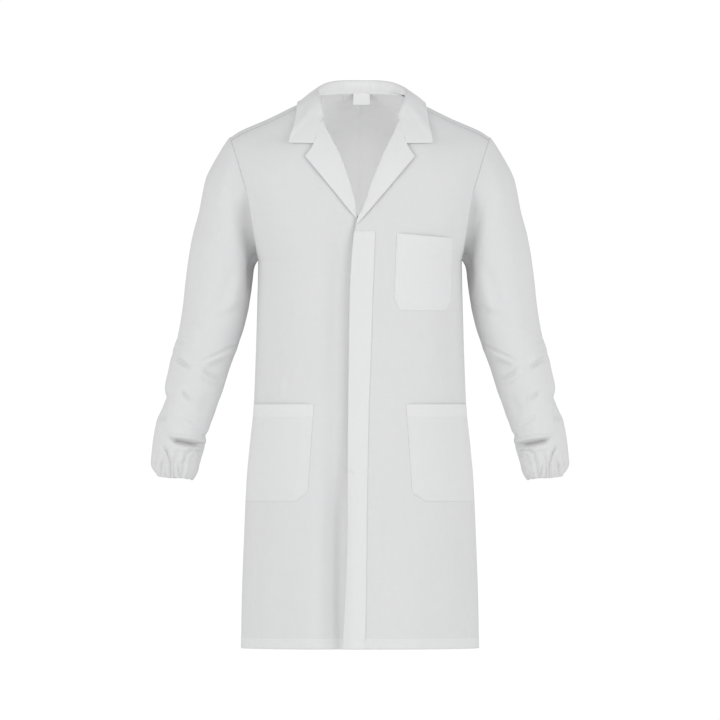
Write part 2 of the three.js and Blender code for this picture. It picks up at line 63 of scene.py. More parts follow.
ROLL = [[-255, -12], [-239, -8], [-226, -1], [-201, 11], [-163, 25], [-115, 45], [-49, 75], [-25, 81], [-5, 84.5], [10, 86]]
PLACKET_EDGE = [[-1050, -31.8], [-1038, -31.4], [-940, -26.3], [-816, -22.6], [-690, -22.6], [-502, -20.7], [-376, -18.8], [-290, -13.7], [-239, -8]]
PLACKET_STITCH = [[-1050, 9], [-940, 11.3], [-816, 12.6], [-690, 14.5], [-564, 17.5], [-502, 20], [-376, 23.9], [-263, 28.2], [-200, 29]]
SLEEVE = [
    [0.00, 244.0, -86.5, 192.2, -313.4, 60.5], [0.05, 263, -112, 195.5, -323, 63], [0.12, 289.5, -163, 199, -340, 65],
    [0.20, 301, -220, 203, -362, 65], [0.29, 316, -276, 207, -388, 63], [0.38, 325, -333, 213, -420, 60],
    [0.47, 331, -389, 222, -453, 57], [0.56, 340, -446, 234, -487, 54], [0.65, 352, -488, 248, -528, 51],
    [0.73, 363, -532, 261, -566, 48], [0.81, 374, -580, 274, -602, 46], [0.88, 382, -618, 285, -635, 45],
    [0.94, 389, -655, 292, -665, 44], [1.00, 393, -694, 302, -699, 41]]
CUFF_TOP, CUFF_END = [392.5, -695.4, 302.6, -700.4, 40.8], [381, -720, 314, -726, 34]
NECK_Z = [[0, 1.6], [26, 1.5], [50, 0.8], [68, -0.9], [79, -4.7], [84, -7.6], [250, -8.6]]
ARM_IN = [[-330, 0], [-316, 0], [-276, 2.7], [-230, 6], [-190, 7.5], [-163, 6], [-120, 3], [-90, 0.3], [-84, 0]]
BUTTON_Z = [-300, -440, -580, -720, -860]


# ------------------------------------------------------------------ utilities
def curve(tab):
    tab = np.array(tab, float)
    x, y = tab[:, 0], tab[:, 1]
    d = np.diff(y) / np.diff(x)
    m = np.zeros(len(x))
    m[0], m[-1] = d[0], d[-1]
    for i in range(1, len(x) - 1):
        m[i] = 0 if d[i - 1] * d[i] <= 0 else 2 * d[i - 1] * d[i] / (d[i - 1] + d[i])

    def f(t):
        t = np.asarray(t, float)
        i = np.clip(np.searchsorted(x, t) - 1, 0, len(x) - 2)
        h = x[i + 1] - x[i]
        s = (t - x[i]) / h
        r = (2 * s**3 - 3 * s**2 + 1) * y[i] + (s**3 - 2 * s**2 + s) * h * m[i] + (-2 * s**3 + 3 * s**2) * y[i + 1] + (s**3 - s**2) * h * m[i + 1]
        r = np.where(t < x[0], y[0] + m[0] * (t - x[0]), r)
        return np.where(t > x[-1], y[-1] + m[-1] * (t - x[-1]), r)
    return f


def mix(a, b, t):
    return a + (b - a) * t


def step(a, b, t):
    s = np.clip((np.asarray(t, float) - a) / (b - a), 0, 1)
    return s * s * (3 - 2 * s)


ridge_f, width_f, depth_f, depth_b = curve(RIDGE), curve(WIDTH), curve(DEPTH_F), curve(DEPTH_B)
round_f, round_b, full_f, roll = curve(ROUND_F), curve(ROUND_B), curve(FULL), curve(ROLL)
roll_side = {1: curve([[-239, 3], [-226, 3], [-215, 2.5], [-201, 1.5], [-170, 0], [-10, 0], [10, 0]]),
             -1: curve([[-240, 9], [-229, 9], [-215, 4], [-201, 0], [-190, -1], [-163, -3], [-116, -5.5], [-90, -5], [-49, -3], [-10, 0], [10, 0]])}
pl_edge, pl_stitch, arm_in = curve(PLACKET_EDGE), curve(PLACKET_STITCH), curve(ARM_IN)
SLOPE = (SHOULDER_X - ARMPIT_X) / (SHOULDER_Z - ARMPIT_Z)
ZC, ZR = (SHOULDER_Z + ARMPIT_Z) / 2, (SHOULDER_Z - ARMPIT_Z) / 2


def ridge(x):
    return ridge_f(np.abs(x))


def half_width(z):
    return np.where(z > ARMPIT_Z, ARMPIT_X + SLOPE * (z - ARMPIT_Z), width_f(z))


def edge_depth(z):
    q = np.clip(1 - ((z - ZC) / ZR) ** 2, 0, 1)
    return np.where(z >= ZC, ARM_DEPTH, np.where(z <= ARMPIT_Z, 0, ARM_DEPTH * np.sqrt(q)))


def over(t):
    t = np.clip(t, 0, 1)
    return np.sqrt(1 - (1 - t) ** 2)


def belly(x, z, b):
    n = full_f(z)
    cm = np.minimum(0.98, edge_depth(z) / b) ** n
    sm = (1 - cm) ** (1 / n)
    s = np.minimum(1, np.abs(x) / half_width(z) * sm)
    return np.maximum(0, 1 - s**n) ** (1 / n)


def front_y(x, z):
    b = depth_f(z)
    return -b * belly(x, z, b) * over((ridge(x) - z) / round_f(np.abs(x)))


def back_y(x, z):
    b = depth_b(z)
    return b * belly(x, z, b) * over((ridge(x) - z) / round_b(np.abs(x)))


def body_val(p):
    x, y, z = p[..., 0], p[..., 1], p[..., 2]
    fr = y < 0
    b = np.where(fr, depth_f(z), depth_b(z))
    r = np.where(fr, round_f(np.abs(x)), round_b(np.abs(x)))
    t = (ridge(x) - z) / r
    c = np.maximum(0.05, belly(x, z, b))
    return np.hypot(y / (b * c), np.maximum(0, 1 - t)) - 1


def clear_of(p, gap):
    q = p.copy()
    e = 0.5
    ex, ey, ez = np.array([e, 0, 0]), np.array([0, e, 0]), np.array([0, 0, e])
    for _ in range(7):
        f = body_val(q)
        g = np.stack([body_val(q + d) - body_val(q - d) for d in (ex, ey, ez)], -1) / (2 * e)
        ln = np.linalg.norm(g, axis=-1) + 1e-9
        dd = f / ln
        need = np.where(dd >= gap - 1e-3, 0, (gap - dd) / ln)
        q = q + g * need[..., None]
    return q


# -------------------------------------------------------- folds in the cloth
def view(x, z):                    # millimetres to the front view's fold map
    return 360 + x / 1.88, 93 - z / 1.88


def fold(px, py, pts, width, depth, taper=0.3, w2=None, d2=0.0, off=0.0, open_end=False):
    """A ridge (depth > 0) or valley along a line; d2 adds a second, parallel one at off widths to its right."""
    pts = np.array(pts, float)
    seg = np.hypot(*(pts[1:] - pts[:-1]).T)
    cum = np.concatenate([[0], np.cumsum(seg)])
    best = np.full(np.shape(px), 1e9)
    sd, tt = np.zeros(np.shape(px)), np.zeros(np.shape(px))
    for k in range(len(pts) - 1):
        (ax, ay), (dx, dy) = pts[k], pts[k + 1] - pts[k]
        t = np.clip(((px - ax) * dx + (py - ay) * dy) / (seg[k] ** 2), 0, 1)
        qx, qy = px - (ax + dx * t), py - (ay + dy * t)
        d = np.hypot(qx, qy)
        m = d < best
        best = np.where(m, d, best)
        sd = np.where(m, np.sign(dx * qy - dy * qx) * d, sd)
        tt = np.where(m, (cum[k] + t * seg[k]) / cum[-1], tt)
    env = step(0, taper, tt) * (1.0 if open_end else step(0, taper, 1 - tt))
    r = depth * np.exp(-((sd / width) ** 2))
    if d2:
        r = r + d2 * np.exp(-(((sd - off * width) / (w2 or width)) ** 2))
    return r * env


def hash_noise(x, y, seed):
    """Smooth value noise, the same every run."""
    rng = np.random.RandomState(seed)
    g = rng.rand(64, 64) * 2 - 1
    xi, yi = np.floor(x).astype(int), np.floor(y).astype(int)
    fx, fy = x - xi, y - yi
    fx, fy = fx * fx * (3 - 2 * fx), fy * fy * (3 - 2 * fy)
    a, b = g[xi % 64, yi % 64], g[(xi + 1) % 64, yi % 64]
    c, d = g[xi % 64, (yi + 1) % 64], g[(xi + 1) % 64, (yi + 1) % 64]
    return mix(mix(a, b, fx), mix(c, d, fx), fy)


def ripple(x, z, scale, seed, stretch=1.0):
    return hash_noise(x / scale + 31.7, z / (scale * stretch) + 57.3, seed) * 0.65 + hash_noise(x / scale * 2.1 + 11.3, z / (scale * stretch) * 2.1 + 7.9, seed + 1) * 0.35


def torso_folds(wx, z):
    """Outward displacement of the front in millimetres, at world x and z."""
    px, py = view(wx, z)
    d = np.zeros(np.shape(px))
    neg, pos = 1 - step(-6, 6, wx), step(-6, 6, wx)
    # the wearer's right, seen on the left
    n = fold(px, py, [(348, 222), (339, 300), (338, 400), (336, 500), (334, 580), (333, 760)], 13, -6.6, 0.08, open_end=True)
    n = n + fold(px, py, [(343, 430), (339, 540), (338, 600), (337, 760)], 10, -10.5, 0.3, open_end=True)
    n = n + fold(px, py, [(318, 440), (314, 560), (310, 760)], 13, 3.0, 0.3, open_end=True)
    n = n + fold(px, py, [(254.5, 508), (253.6, 560), (252.5, 640), (252, 760)], 2.6, 2.2, 0.2, 3.0, -1.8, -1.9, True)
    n = n + fold(px, py, [(285, 512), (281, 600), (279, 760)], 14, -2.2, 0.3, open_end=True)
    n = n + fold(px, py, [(285, 366), (281.5, 386), (280.5, 405)], 3.2, 1.0, 0.45, 3.8, -0.8, -1.7)
    n = n + fold(px, py, [(343.5, 468), (349, 471), (353, 474)], 2.2, -1.6, 0.4)
    n = n + fold(px, py, [(262, 270), (272, 330), (276, 395)], 9, -1.6, 0.4)
    n = n + fold(px, py, [(300, 230), (305, 300), (304, 390)], 16, 1.6, 0.4)
    n = n + fold(px, py, [(330, 632), (331, 652)], 1.7, 1.2, 0.3, open_end=True) + fold(px, py, [(335.5, 630), (336.5, 652)], 1.6, 1.3, 0.3, open_end=True)
    n = n + fold(px, py, [(328, 627), (343, 630)], 1.6, 1.1, 0.3)
    # the wearer's left, seen on the right
    p = fold(px, py, [(374, 420), (375, 520), (373, 600), (372, 760)], 6.5, -2.6, 0.3, open_end=True)
    p = p + fold(px, py, [(402, 450), (406, 560), (410, 760)], 15, 2.0, 0.35, open_end=True)
    p = p + fold(px, py, [(436, 515), (440, 600), (442, 760)], 13, -2.0, 0.3, open_end=True)
    p = p + fold(px, py, [(466, 508), (467.5, 560), (469, 640), (470, 760)], 2.6, 2.2, 0.2, 3.0, -1.8, 1.9, True)
    p = p + fold(px, py, [(440, 366), (443, 386), (444, 405)], 3.2, 1.0, 0.45, 3.8, -0.8, 1.7)
    p = p + fold(px, py, [(460, 270), (450, 330), (446, 395)], 9, -1.6, 0.4)
    p = p + fold(px, py, [(384, 300), (383, 380), (385, 470)], 12, -1.3, 0.4)
    # both shoulders: a soft hollow below the shoulder seam beside the collar
    s = fold(px, py, [(300, 146), (272, 134), (250, 141)], 9, -3.4, 0.35)
    s = s + fold(px, py, [(424, 148), (450, 135), (472, 142)], 9, -2.4, 0.35)
    p = p + fold(px, py, [(381, 202), (376, 212), (366.5, 225)], 2.4, -1.6, 0.35, 3.5, 1.0, 1.8)
    d = n * neg + p * pos + s
    d = d + 0.9 * ripple(wx, z, 62, 3, 2.3) * step(-1060, -500, z) + 0.8 * ripple(wx, z, 48, 9, 3.2) * step(-420, -900, z)
    d = d + 0.35 * ripple(wx, z, 21, 15, 1.6)
    edge = half_width(z) - np.abs(wx)
    return d * step(0, 26, edge)


def back_folds(wx, z):
    d = 1.4 * ripple(wx, z, 66, 21, 2.6) + 0.5 * ripple(wx, z, 24, 23, 1.8)
    d = d + 2.6 * np.cos(wx / 27.0 + 0.8 + 0.002 * z) * step(-560, -1043, z)
    for sx in (-1, 1):
        px, py = view(wx, z)
        d = d + fold(px, py, [(360 + sx * 88, 205), (360 + sx * 62, 270), (360 + sx * 55, 360)], 9, -2.8, 0.4)
        d = d + fold(px, py, [(360 + sx * 92, 240), (360 + sx * 80, 300), (360 + sx * 78, 420)], 8, 2.2, 0.4)
    edge = half_width(z) - np.abs(wx)
    return d * step(0, 26, edge)


# ----------------------------------------------------------- building meshes
def grid_quads(n, m, wrap=False, mask=None):
    i, j = np.meshgrid(np.arange(n if wrap else n - 1), np.arange(m - 1), indexing="ij")
    i2 = (i + 1) % n
    q = np.stack([i * m + j, i2 * m + j, i2 * m + j + 1, i * m + j + 1], -1)
    if mask is not None:
        k = mask.ravel()
        q = q.reshape(-1, 4)
        return q[k[q].all(1)]
    return q.reshape(-1, 4)


def vert_normals(P, quads):
    fn = np.cross(P[quads[:, 2]] - P[quads[:, 0]], P[quads[:, 3]] - P[quads[:, 1]])
    N = np.zeros_like(P)
    for k in range(4):
        np.add.at(N, quads[:, k], fn)
    return N / (np.linalg.norm(N, axis=1, keepdims=True) + 1e-12)


def orient(P, quads, out):
    """Turns the winding so that the normals point along out, a direction or a function of P."""
    N = vert_normals(P, quads)
    ref = out(P) if callable(out) else np.array(out, float)[None, :]
    used = np.unique(quads)
    return quads[:, ::-1] if (N[used] * (ref[used] if callable(out) else ref)).sum() < 0 else quads


def part(G, out, lo=-0.3, hi=0.3, wrap=False, mask=None, uv=None, mat=0, disp=None, rim=0.45):
    """One closed double layer of cloth from a grid of points G (n, m, 3)."""
    n, m = G.shape[:2]
    P = G.reshape(-1, 3).astype(float)
    quads = orient(P, grid_quads(n, m, wrap, mask), out)
    N = vert_normals(P, quads)
    if disp is not None:
        P = P + N * np.asarray(disp, float).reshape(-1, 1)
        N = vert_normals(P, quads)
    lo = np.broadcast_to(np.asarray(lo, float), (n, m)).ravel()
    hi = np.broadcast_to(np.asarray(hi, float), (n, m)).ravel()
    if uv is None:
        du = np.concatenate([np.zeros((1, m)), np.cumsum(np.linalg.norm(np.diff(G, axis=0), axis=2), 0)])
        dv = np.concatenate([np.zeros((n, 1)), np.cumsum(np.linalg.norm(np.diff(G, axis=1), axis=2), 1)], 1)
        mid = du[n // 2, :]
        uv = np.stack([du - mid[None, :], dv], -1)
    uv = uv.reshape(-1, 2) * MM
    return dict(P=P, N=N, quads=quads, lo=lo, hi=hi, uv=uv, mat=mat, shape=(n, m), rim=rim)


def mirror(p):
    q = dict(p)
    q["P"], q["N"] = p["P"] * [-1, 1, 1], p["N"] * [-1, 1, 1]
    q["quads"] = p["quads"][:, ::-1]
    return q


def mesh_parts(p):
    """Vertices, faces, uv per vertex and material per face of one part."""
    P, N, Q = p["P"], p["N"], p["quads"]
    used, inv = np.unique(Q, return_inverse=True)
    Q = inv.reshape(Q.shape)
    P, N, lo, hi, uv = P[used], N[used], p["lo"][used], p["hi"][used], p["uv"][used]
    n = len(P)
    top, bot = P + N * hi[:, None], P + N * lo[:, None]
    e = np.concatenate([Q[:, [0, 1]], Q[:, [1, 2]], Q[:, [2, 3]], Q[:, [3, 0]]])
    keep = e[:, 0] != e[:, 1]
    e = e[keep]
    fidx = np.tile(np.arange(len(Q)), 4)[keep]
    key = np.minimum(e[:, 0], e[:, 1]) * n + np.maximum(e[:, 0], e[:, 1])
    _, first, cnt = np.unique(key, return_index=True, return_counts=True)
    b = e[first[cnt == 1]]
    bf = fidx[first[cnt == 1]]
    rv = np.unique(b)
    d = P[b[:, 1]] - P[b[:, 0]]
    o = np.cross(d, N[b[:, 0]] + N[b[:, 1]])
    o = o / (np.linalg.norm(o, axis=1, keepdims=True) + 1e-12)
    E = np.zeros_like(P)
    np.add.at(E, b[:, 0], o)
    np.add.at(E, b[:, 1], o)
    E = E / (np.linalg.norm(E, axis=1, keepdims=True) + 1e-12)
    t = (hi - lo)[:, None]
    rimp = P + N * ((hi + lo) / 2)[:, None] + E * t * p["rim"]
    ridx = np.full(n, -1)
    ridx[rv] = np.arange(len(rv)) + 2 * n
    verts = np.concatenate([top, bot, rimp[rv]])
    uvs = np.concatenate([uv, uv, uv[rv]])
    a_, b_ = b[:, 0], b[:, 1]
    s1 = np.stack([b_, a_, ridx[a_], ridx[b_]], 1)
    s2 = np.stack([ridx[b_], ridx[a_], a_ + n, b_ + n], 1)
    faces = np.concatenate([Q, Q[:, ::-1] + n, s1, s2])
    m = np.broadcast_to(np.asarray(p["mat"]), (len(Q),)) if not callable(p["mat"]) else p["mat"](P[Q].mean(1))
    mats = np.concatenate([m, m, m[bf], m[bf]])
    return verts, faces, uvs, mats


def make(name, parts, mats, replaces=(), sharp=50, loose=()):
    """One Blender object from double-layer parts and loose (verts, faces) lumps."""
    V, F, U, M, base = [], [], [], [], 0
    for p in parts:
        v, f, u, m = mesh_parts(p)
        V.append(v), F.extend((f + base).tolist()), U.append(u), M.append(m)
        base += len(v)
    for v, f in loose:
        V.append(v), F.extend([[i + base for i in g] for g in f]), U.append(np.asarray(v)[:, :2] * MM), M.append(np.zeros(len(f), int))
        base += len(v)
    F = [[a for k, a in enumerate(g) if a != g[k - 1]] for g in F]
    V, U, M = np.concatenate(V) * MM, np.concatenate(U), np.concatenate(M)
    ok = [k for k, g in enumerate(F) if len(set(g)) >= 3]
    F, M = [F[k] for k in ok], M[ok]
    me = bpy.data.meshes.new(name)
    me.from_pydata(V.tolist(), [], F)
    for mt in mats:
        me.materials.append(mt)
    me.polygons.foreach_set("material_index", M.astype(np.int32))
    me.polygons.foreach_set("use_smooth", np.ones(len(F), bool))
    lay = me.uv_layers.new(name="UVMap")
    vi = np.zeros(len(me.loops), np.int32)
    me.loops.foreach_get("vertex_index", vi)
    lay.data.foreach_set("uv", U[vi].astype(np.float32).ravel())
    me.update()
    me.set_sharp_from_angle(angle=math.radians(sharp))
    ob = bpy.data.objects.new(name, me)
    bpy.context.scene.collection.objects.link(ob)
    if replaces:
        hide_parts(*replaces)
    return ob


def samp(p, i, j):
    """Point and normal of a part's grid at fractional rows and columns."""
    n, m = p["shape"]
    P, N = p["P"].reshape(n, m, 3), p["N"].reshape(n, m, 3)
    hi = p["hi"].reshape(n, m)
    i, j = np.broadcast_arrays(np.asarray(i, float), np.asarray(j, float))
    i0, j0 = np.clip(np.floor(i).astype(int), 0, n - 2), np.clip(np.floor(j).astype(int), 0, m - 2)
    fi, fj = i - i0, j - j0
    w = [(1 - fi) * (1 - fj), fi * (1 - fj), (1 - fi) * fj, fi * fj]
    ids = [(i0, j0), (i0 + 1, j0), (i0, j0 + 1), (i0 + 1, j0 + 1)]
    pt = sum(P[a] * k[:, None] for a, k in zip(ids, w))
    nn = sum(N[a] * k[:, None] for a, k in zip(ids, w))
    hh = sum(hi[a] * k for a, k in zip(ids, w))
    nn = nn / (np.linalg.norm(nn, axis=1, keepdims=True) + 1e-12)
    return pt + nn * hh[:, None], nn


def stitches(pn, long=2.7, gap=1.0, r=0.3, lift=0.12):
    """A line of thread stitches along a path of points with normals."""
    pt, nn = pn
    d = np.linalg.norm(np.diff(pt, axis=0), axis=1)
    cum = np.concatenate([[0], np.cumsum(d)])
    if cum[-1] < long:
        return []
    starts = np.arange(0, cum[-1] - long, long + gap)
    def at(s):
        return np.stack([np.interp(s, cum, pt[:, k]) for k in range(3)], 1), np.stack([np.interp(s, cum, nn[:, k]) for k in range(3)], 1)
    a, na = at(starts)
    b, nb = at(starts + long)
    c, nc = at(starts + long / 2)
    t = b - a
    t = t / (np.linalg.norm(t, axis=1, keepdims=True) + 1e-12)
    s = np.cross(t, nc)
    V = np.stack([a - na * 0.1, b - nb * 0.1,
                  mix(a, c, 0.5) + nc * (lift + r * 0.6), mix(a, c, 0.5) + s * r, mix(a, c, 0.5) - nc * 0.2, mix(a, c, 0.5) - s * r,
                  mix(b, c, 0.5) + nc * (lift + r * 0.6), mix(b, c, 0.5) + s * r, mix(b, c, 0.5) - nc * 0.2, mix(b, c, 0.5) - s * r], 1)
    n = len(starts)
    F = []
    for k in range(n):
        o = k * 10
        for q in range(4):
            q2 = (q + 1) % 4
            F.append([o, o + 2 + q2, o + 2 + q])
            F.append([o + 2 + q, o + 2 + q2, o + 6 + q2, o + 6 + q])
            F.append([o + 1, o + 6 + q, o + 6 + q2])
    V = V.reshape(-1, 3)
    # outward winding
    f0 = F[0]
    nrm = np.cross(V[f0[1]] - V[f0[0]], V[f0[2]] - V[f0[0]])
    if np.dot(nrm, (V[f0[0]] + V[f0[1]] + V[f0[2]]) / 3 - V[:10].mean(0)) < 0:
        F = [g[::-1] for g in F]
    return [(V, F)]


def mir_loose(ls):
    return [(np.asarray(v) * [-1, 1, 1], [g[::-1] for g in f]) for v, f in ls]


def side_part(p, side):
    return p if side > 0 else mirror(p)


def ln(a, b, n=400):
    return np.linspace(a, b, n)


# ------------------------------------------------------------------ materials
def nodes_of(name):
    m = bpy.data.materials.new(name)
    m.use_nodes = True
    nt = m.node_tree
    return m, nt, nt.nodes["Principled BSDF"]


def math_node(nt, op, a, b=None):
    n = nt.nodes.new("ShaderNodeMath")
    n.operation = op
    for k, v in enumerate((a, b)):
        if v is None:
            continue
        if isinstance(v, (int, float)):
            n.inputs[k].default_value = v
        else:
            nt.links.new(v, n.inputs[k])
    return n.outputs[0]


def cloth_material(name, col, pitch=0.00052, slub=0.035, mottle=0.03, bump=0.35, rough=0.86, warm=0.0):
    m, nt, bs = nodes_of(name)
    L = nt.links
    uv = nt.nodes.new("ShaderNodeTexCoord").outputs["UV"]
    sep = nt.nodes.new("ShaderNodeSeparateXYZ")
    L.new(uv, sep.inputs[0])
    u, v = sep.outputs[0], sep.outputs[1]
    k = 2 * math.pi / (2 * pitch)
    su = math_node(nt, "SINE", math_node(nt, "MULTIPLY", u, k))
    sv = math_node(nt, "SINE", math_node(nt, "MULTIPLY", v, k))
    weave = math_node(nt, "MULTIPLY", su, sv)                # over and under, like plain weave
    # slubs: threads that are a little thicker or thinner over some centimetres
    def slubs(sx, sy, seed):
        mp = nt.nodes.new("ShaderNodeMapping")
        mp.inputs["Scale"].default_value = (sx, sy, 1)
        mp.inputs["Location"].default_value = (seed, seed * 1.7, 0)
        L.new(uv, mp.inputs["Vector"])
        nz = nt.nodes.new("ShaderNodeTexNoise")
        nz.inputs["Scale"].default_value = 1.0
        nz.inputs["Detail"].default_value = 2.0
        L.new(mp.outputs[0], nz.inputs["Vector"])
        return math_node(nt, "SUBTRACT", nz.outputs["Fac"], 0.5)
    warp, weft = slubs(900, 22, 3.1), slubs(22, 900, 8.7)
    thr = math_node(nt, "ADD", warp, weft)
    tc = nt.nodes.new("ShaderNodeTexCoord").outputs["Object"]
    big = nt.nodes.new("ShaderNodeTexNoise")
    big.inputs["Scale"].default_value = 9.0
    big.inputs["Detail"].default_value = 4.0
    L.new(tc, big.inputs["Vector"])
    mid = nt.nodes.new("ShaderNodeTexNoise")
    mid.inputs["Scale"].default_value = 95.0
    mid.inputs["Detail"].default_value = 3.0
    L.new(tc, mid.inputs["Vector"])
    tone = math_node(nt, "ADD", math_node(nt, "MULTIPLY", math_node(nt, "SUBTRACT", big.outputs["Fac"], 0.5), mottle),
                     math_node(nt, "MULTIPLY", math_node(nt, "SUBTRACT", mid.outputs["Fac"], 0.5), mottle))
    tone = math_node(nt, "ADD", tone, math_node(nt, "MULTIPLY", thr, slub))
    tone = math_node(nt, "ADD", tone, math_node(nt, "MULTIPLY", weave, 0.012))
    fac = math_node(nt, "ADD", math_node(nt, "MULTIPLY", tone, 2.0), 0.5)
    ramp = nt.nodes.new("ShaderNodeValToRGB")
    ramp.color_ramp.elements[0].position = 0.0
    ramp.color_ramp.elements[1].position = 1.0
    lo, hi = [c * 0.74 for c in col], [min(1, c * 1.24) for c in col]
    ramp.color_ramp.elements[0].color = (lo[0] * (1 - warm), lo[1], lo[2], 1)
    ramp.color_ramp.elements[1].color = (hi[0], hi[1], hi[2], 1)
    L.new(fac, ramp.inputs[0])
    L.new(ramp.outputs[0], bs.inputs["Base Color"])
    h = math_node(nt, "ADD", math_node(nt, "MULTIPLY", weave, 0.5), math_node(nt, "MULTIPLY", thr, 1.2))
    b = nt.nodes.new("ShaderNodeBump")
    b.inputs["Strength"].default_value = bump
    b.inputs["Distance"].default_value = 0.00012
    L.new(h, b.inputs["Height"])
    L.new(b.outputs[0], bs.inputs["Normal"])
    r = math_node(nt, "ADD", math_node(nt, "MULTIPLY", tone, 0.6), rough)
    L.new(r, bs.inputs["Roughness"])
    bs.inputs["Sheen Weight"].default_value = 0.12
    bs.inputs["Sheen Roughness"].default_value = 0.5
    bs.inputs["Specular IOR Level"].default_value = 0.22
    return m


def plain_material(name, col, rough, scale=420, amt=0.05, bump=0.1, spec=0.5, dist=0.0002):
    m, nt, bs = nodes_of(name)
    L = nt.links
    tc = nt.nodes.new("ShaderNodeTexCoord").outputs["Object"]
    nz = nt.nodes.new("ShaderNodeTexNoise")
    nz.inputs["Scale"].default_value = scale
    nz.inputs["Detail"].default_value = 3.0
    L.new(tc, nz.inputs["Vector"])
    ramp = nt.nodes.new("ShaderNodeValToRGB")
    ramp.color_ramp.elements[0].position, ramp.color_ramp.elements[1].position = 0.3, 0.7
    ramp.color_ramp.elements[0].color = tuple(c * (1 - amt) for c in col) + (1,)
    ramp.color_ramp.elements[1].color = tuple(min(1, c * (1 + amt)) for c in col) + (1,)
    L.new(nz.outputs["Fac"], ramp.inputs[0])
    L.new(ramp.outputs[0], bs.inputs["Base Color"])
    L.new(math_node(nt, "ADD", math_node(nt, "MULTIPLY", nz.outputs["Fac"], 0.12), rough), bs.inputs["Roughness"])
    b = nt.nodes.new("ShaderNodeBump")
    b.inputs["Strength"].default_value = bump
    b.inputs["Distance"].default_value = dist
    L.new(nz.outputs["Fac"], b.inputs["Height"])
    L.new(b.outputs[0], bs.inputs["Normal"])
    bs.inputs["Specular IOR Level"].default_value = spec
    return m


# painted light and shade: these cotton copies differ only in base colour. A single layer of the thin cloth lets the
# shaded inside of the coat show through, so the single-layer colour is painted shade and the double-layer copies are
# lighter. The hem and hip-pocket copies are a little darker and the chest-pocket copy lighter, set by how much light
# reaches each piece.
M_SINGLE = cloth_material("cotton_single", (0.70, 0.70, 0.702))
M_DOUBLE = cloth_material("cotton_double", (0.75, 0.75, 0.752), mottle=0.02)
M_HEM = cloth_material("cotton_hem", (0.73, 0.73, 0.732), mottle=0.025)
M_POCKET = cloth_material("cotton_pocket", (0.725, 0.725, 0.727), mottle=0.02)
M_CHEST = cloth_material("cotton_chest_pocket", (0.745, 0.745, 0.747), mottle=0.02)
M_THREAD = plain_material("thread", (0.80, 0.80, 0.80), 0.6, 1500, 0.04, 0.2)
M_BUTTON = plain_material("button_plastic", (0.86, 0.86, 0.84), 0.25, 160, 0.03, 0.05, 0.5)
M_LABEL = cloth_material("label_satin", (0.88, 0.88, 0.885), pitch=0.0003, slub=0.015, mottle=0.01, bump=0.25, rough=0.6)
M_TAPE = cloth_material("tape_twill", (0.69, 0.69, 0.692), pitch=0.0004, bump=0.4)


# ------------------------------------------------------------- front surfaces
def roll_at(side, z):
    return roll(z) + roll_side[side](np.clip(z, -240, 10))


def tuck(side, x, z):
    return 0 * x if side > 0 else 5.0 * (1 - step(36, 84, x)) * step(-196, -240, z)


def front_pos(side, x, z, rise=0.0):
    """A point of the front's middle surface; x is measured on the coat's own side."""
    d = torso_folds(side * x, z)
    if side > 0:
        d = d + 1.6 * np.exp(-np.maximum(0, x - pl_edge(z)) / 16.0) * step(-215, -330, z)
    y = front_y(x, z) - 0.45 + tuck(side, x, z) - d - rise
    return np.stack(np.broadcast_arrays(x, y, z), -1)


def inner_edge(side, z):
    low = pl_edge(z) + 1.0 if side > 0 else -(pl_stitch(z) - 4)
    return mix(low, roll_at(side, z), step(-266, -240, z))


def front_grid(side):
    n, m1, m2 = 84, 190, 78
    u = np.linspace(0, 1, n)[:, None]
    zl = np.linspace(HEM_Z, ARMPIT_Z, m1)[None, :]
    s = np.sin(u * math.pi / 2)
    xl = mix(inner_edge(side, zl), half_width(zl), s)
    zl = np.broadcast_to(zl, xl.shape)
    v = np.linspace(0, 1, m2)[1:][None, :]
    xt = mix(roll(-5), SHOULDER_X - 0.4, u)
    zt = ridge(xt) - SEAM_DROP
    z = mix(ARMPIT_Z, zt, v)
    zin = mix(ARMPIT_Z, ridge(84.5) - SEAM_DROP, v)
    zout = mix(ARMPIT_Z, SHOULDER_Z - SEAM_DROP, v)
    w = mix(s, u, step(0.0, 1, v))
    xo = half_width(zout) - 0.4 - arm_in(zout)
    x = mix(inner_edge(side, zin), xo, w)
    X, Z = np.concatenate([xl, x], 1), np.concatenate([zl, z], 1)
    G = front_pos(side, X, Z)
    # the cloth sinks a little into the armhole and shoulder seams
    e = np.zeros(X.shape)
    e[:, m1:] = np.maximum(np.exp(-np.abs(X[:, m1:] - xo) / 2.2), np.exp(-np.abs(Z[:, m1:] - zt) / 2.0))
    G[..., 1] += 0.9 * e
    return G, X, Z


def flat_of(p, name, cut=None):
    n, m = p["shape"]
    P = p["P"].reshape(n, m, 3)
    w = np.linalg.norm(np.diff(P, axis=0), axis=2).sum(0).max() * MM
    l = np.linalg.norm(np.diff(P, axis=1), axis=2).sum(1).max() * MM
    q = p["quads"]
    a = 0.5 * np.linalg.norm(np.cross(p["P"][q[:, 2]] - p["P"][q[:, 0]], p["P"][q[:, 3]] - p["P"][q[:, 1]]), axis=1).sum() * MM * MM
    return w, l, min(a, w * l * 0.999)


def declare(ob, p, extra=1.0):
    w, l, a = flat_of(p, ob.name)
    w, l = round(w, 3), round(l, 3)
    a = min(a * extra, w * l)
    a = max(a, 0.31 * w * l)


def blend_front(ob):
    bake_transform(ob)


def blend_sleeve(ob):
    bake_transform(ob)


def row_j(Z, i, z):                # fractional row of a height in a column-wise grid
    return np.interp(z, Z[i], np.arange(Z.shape[1]))


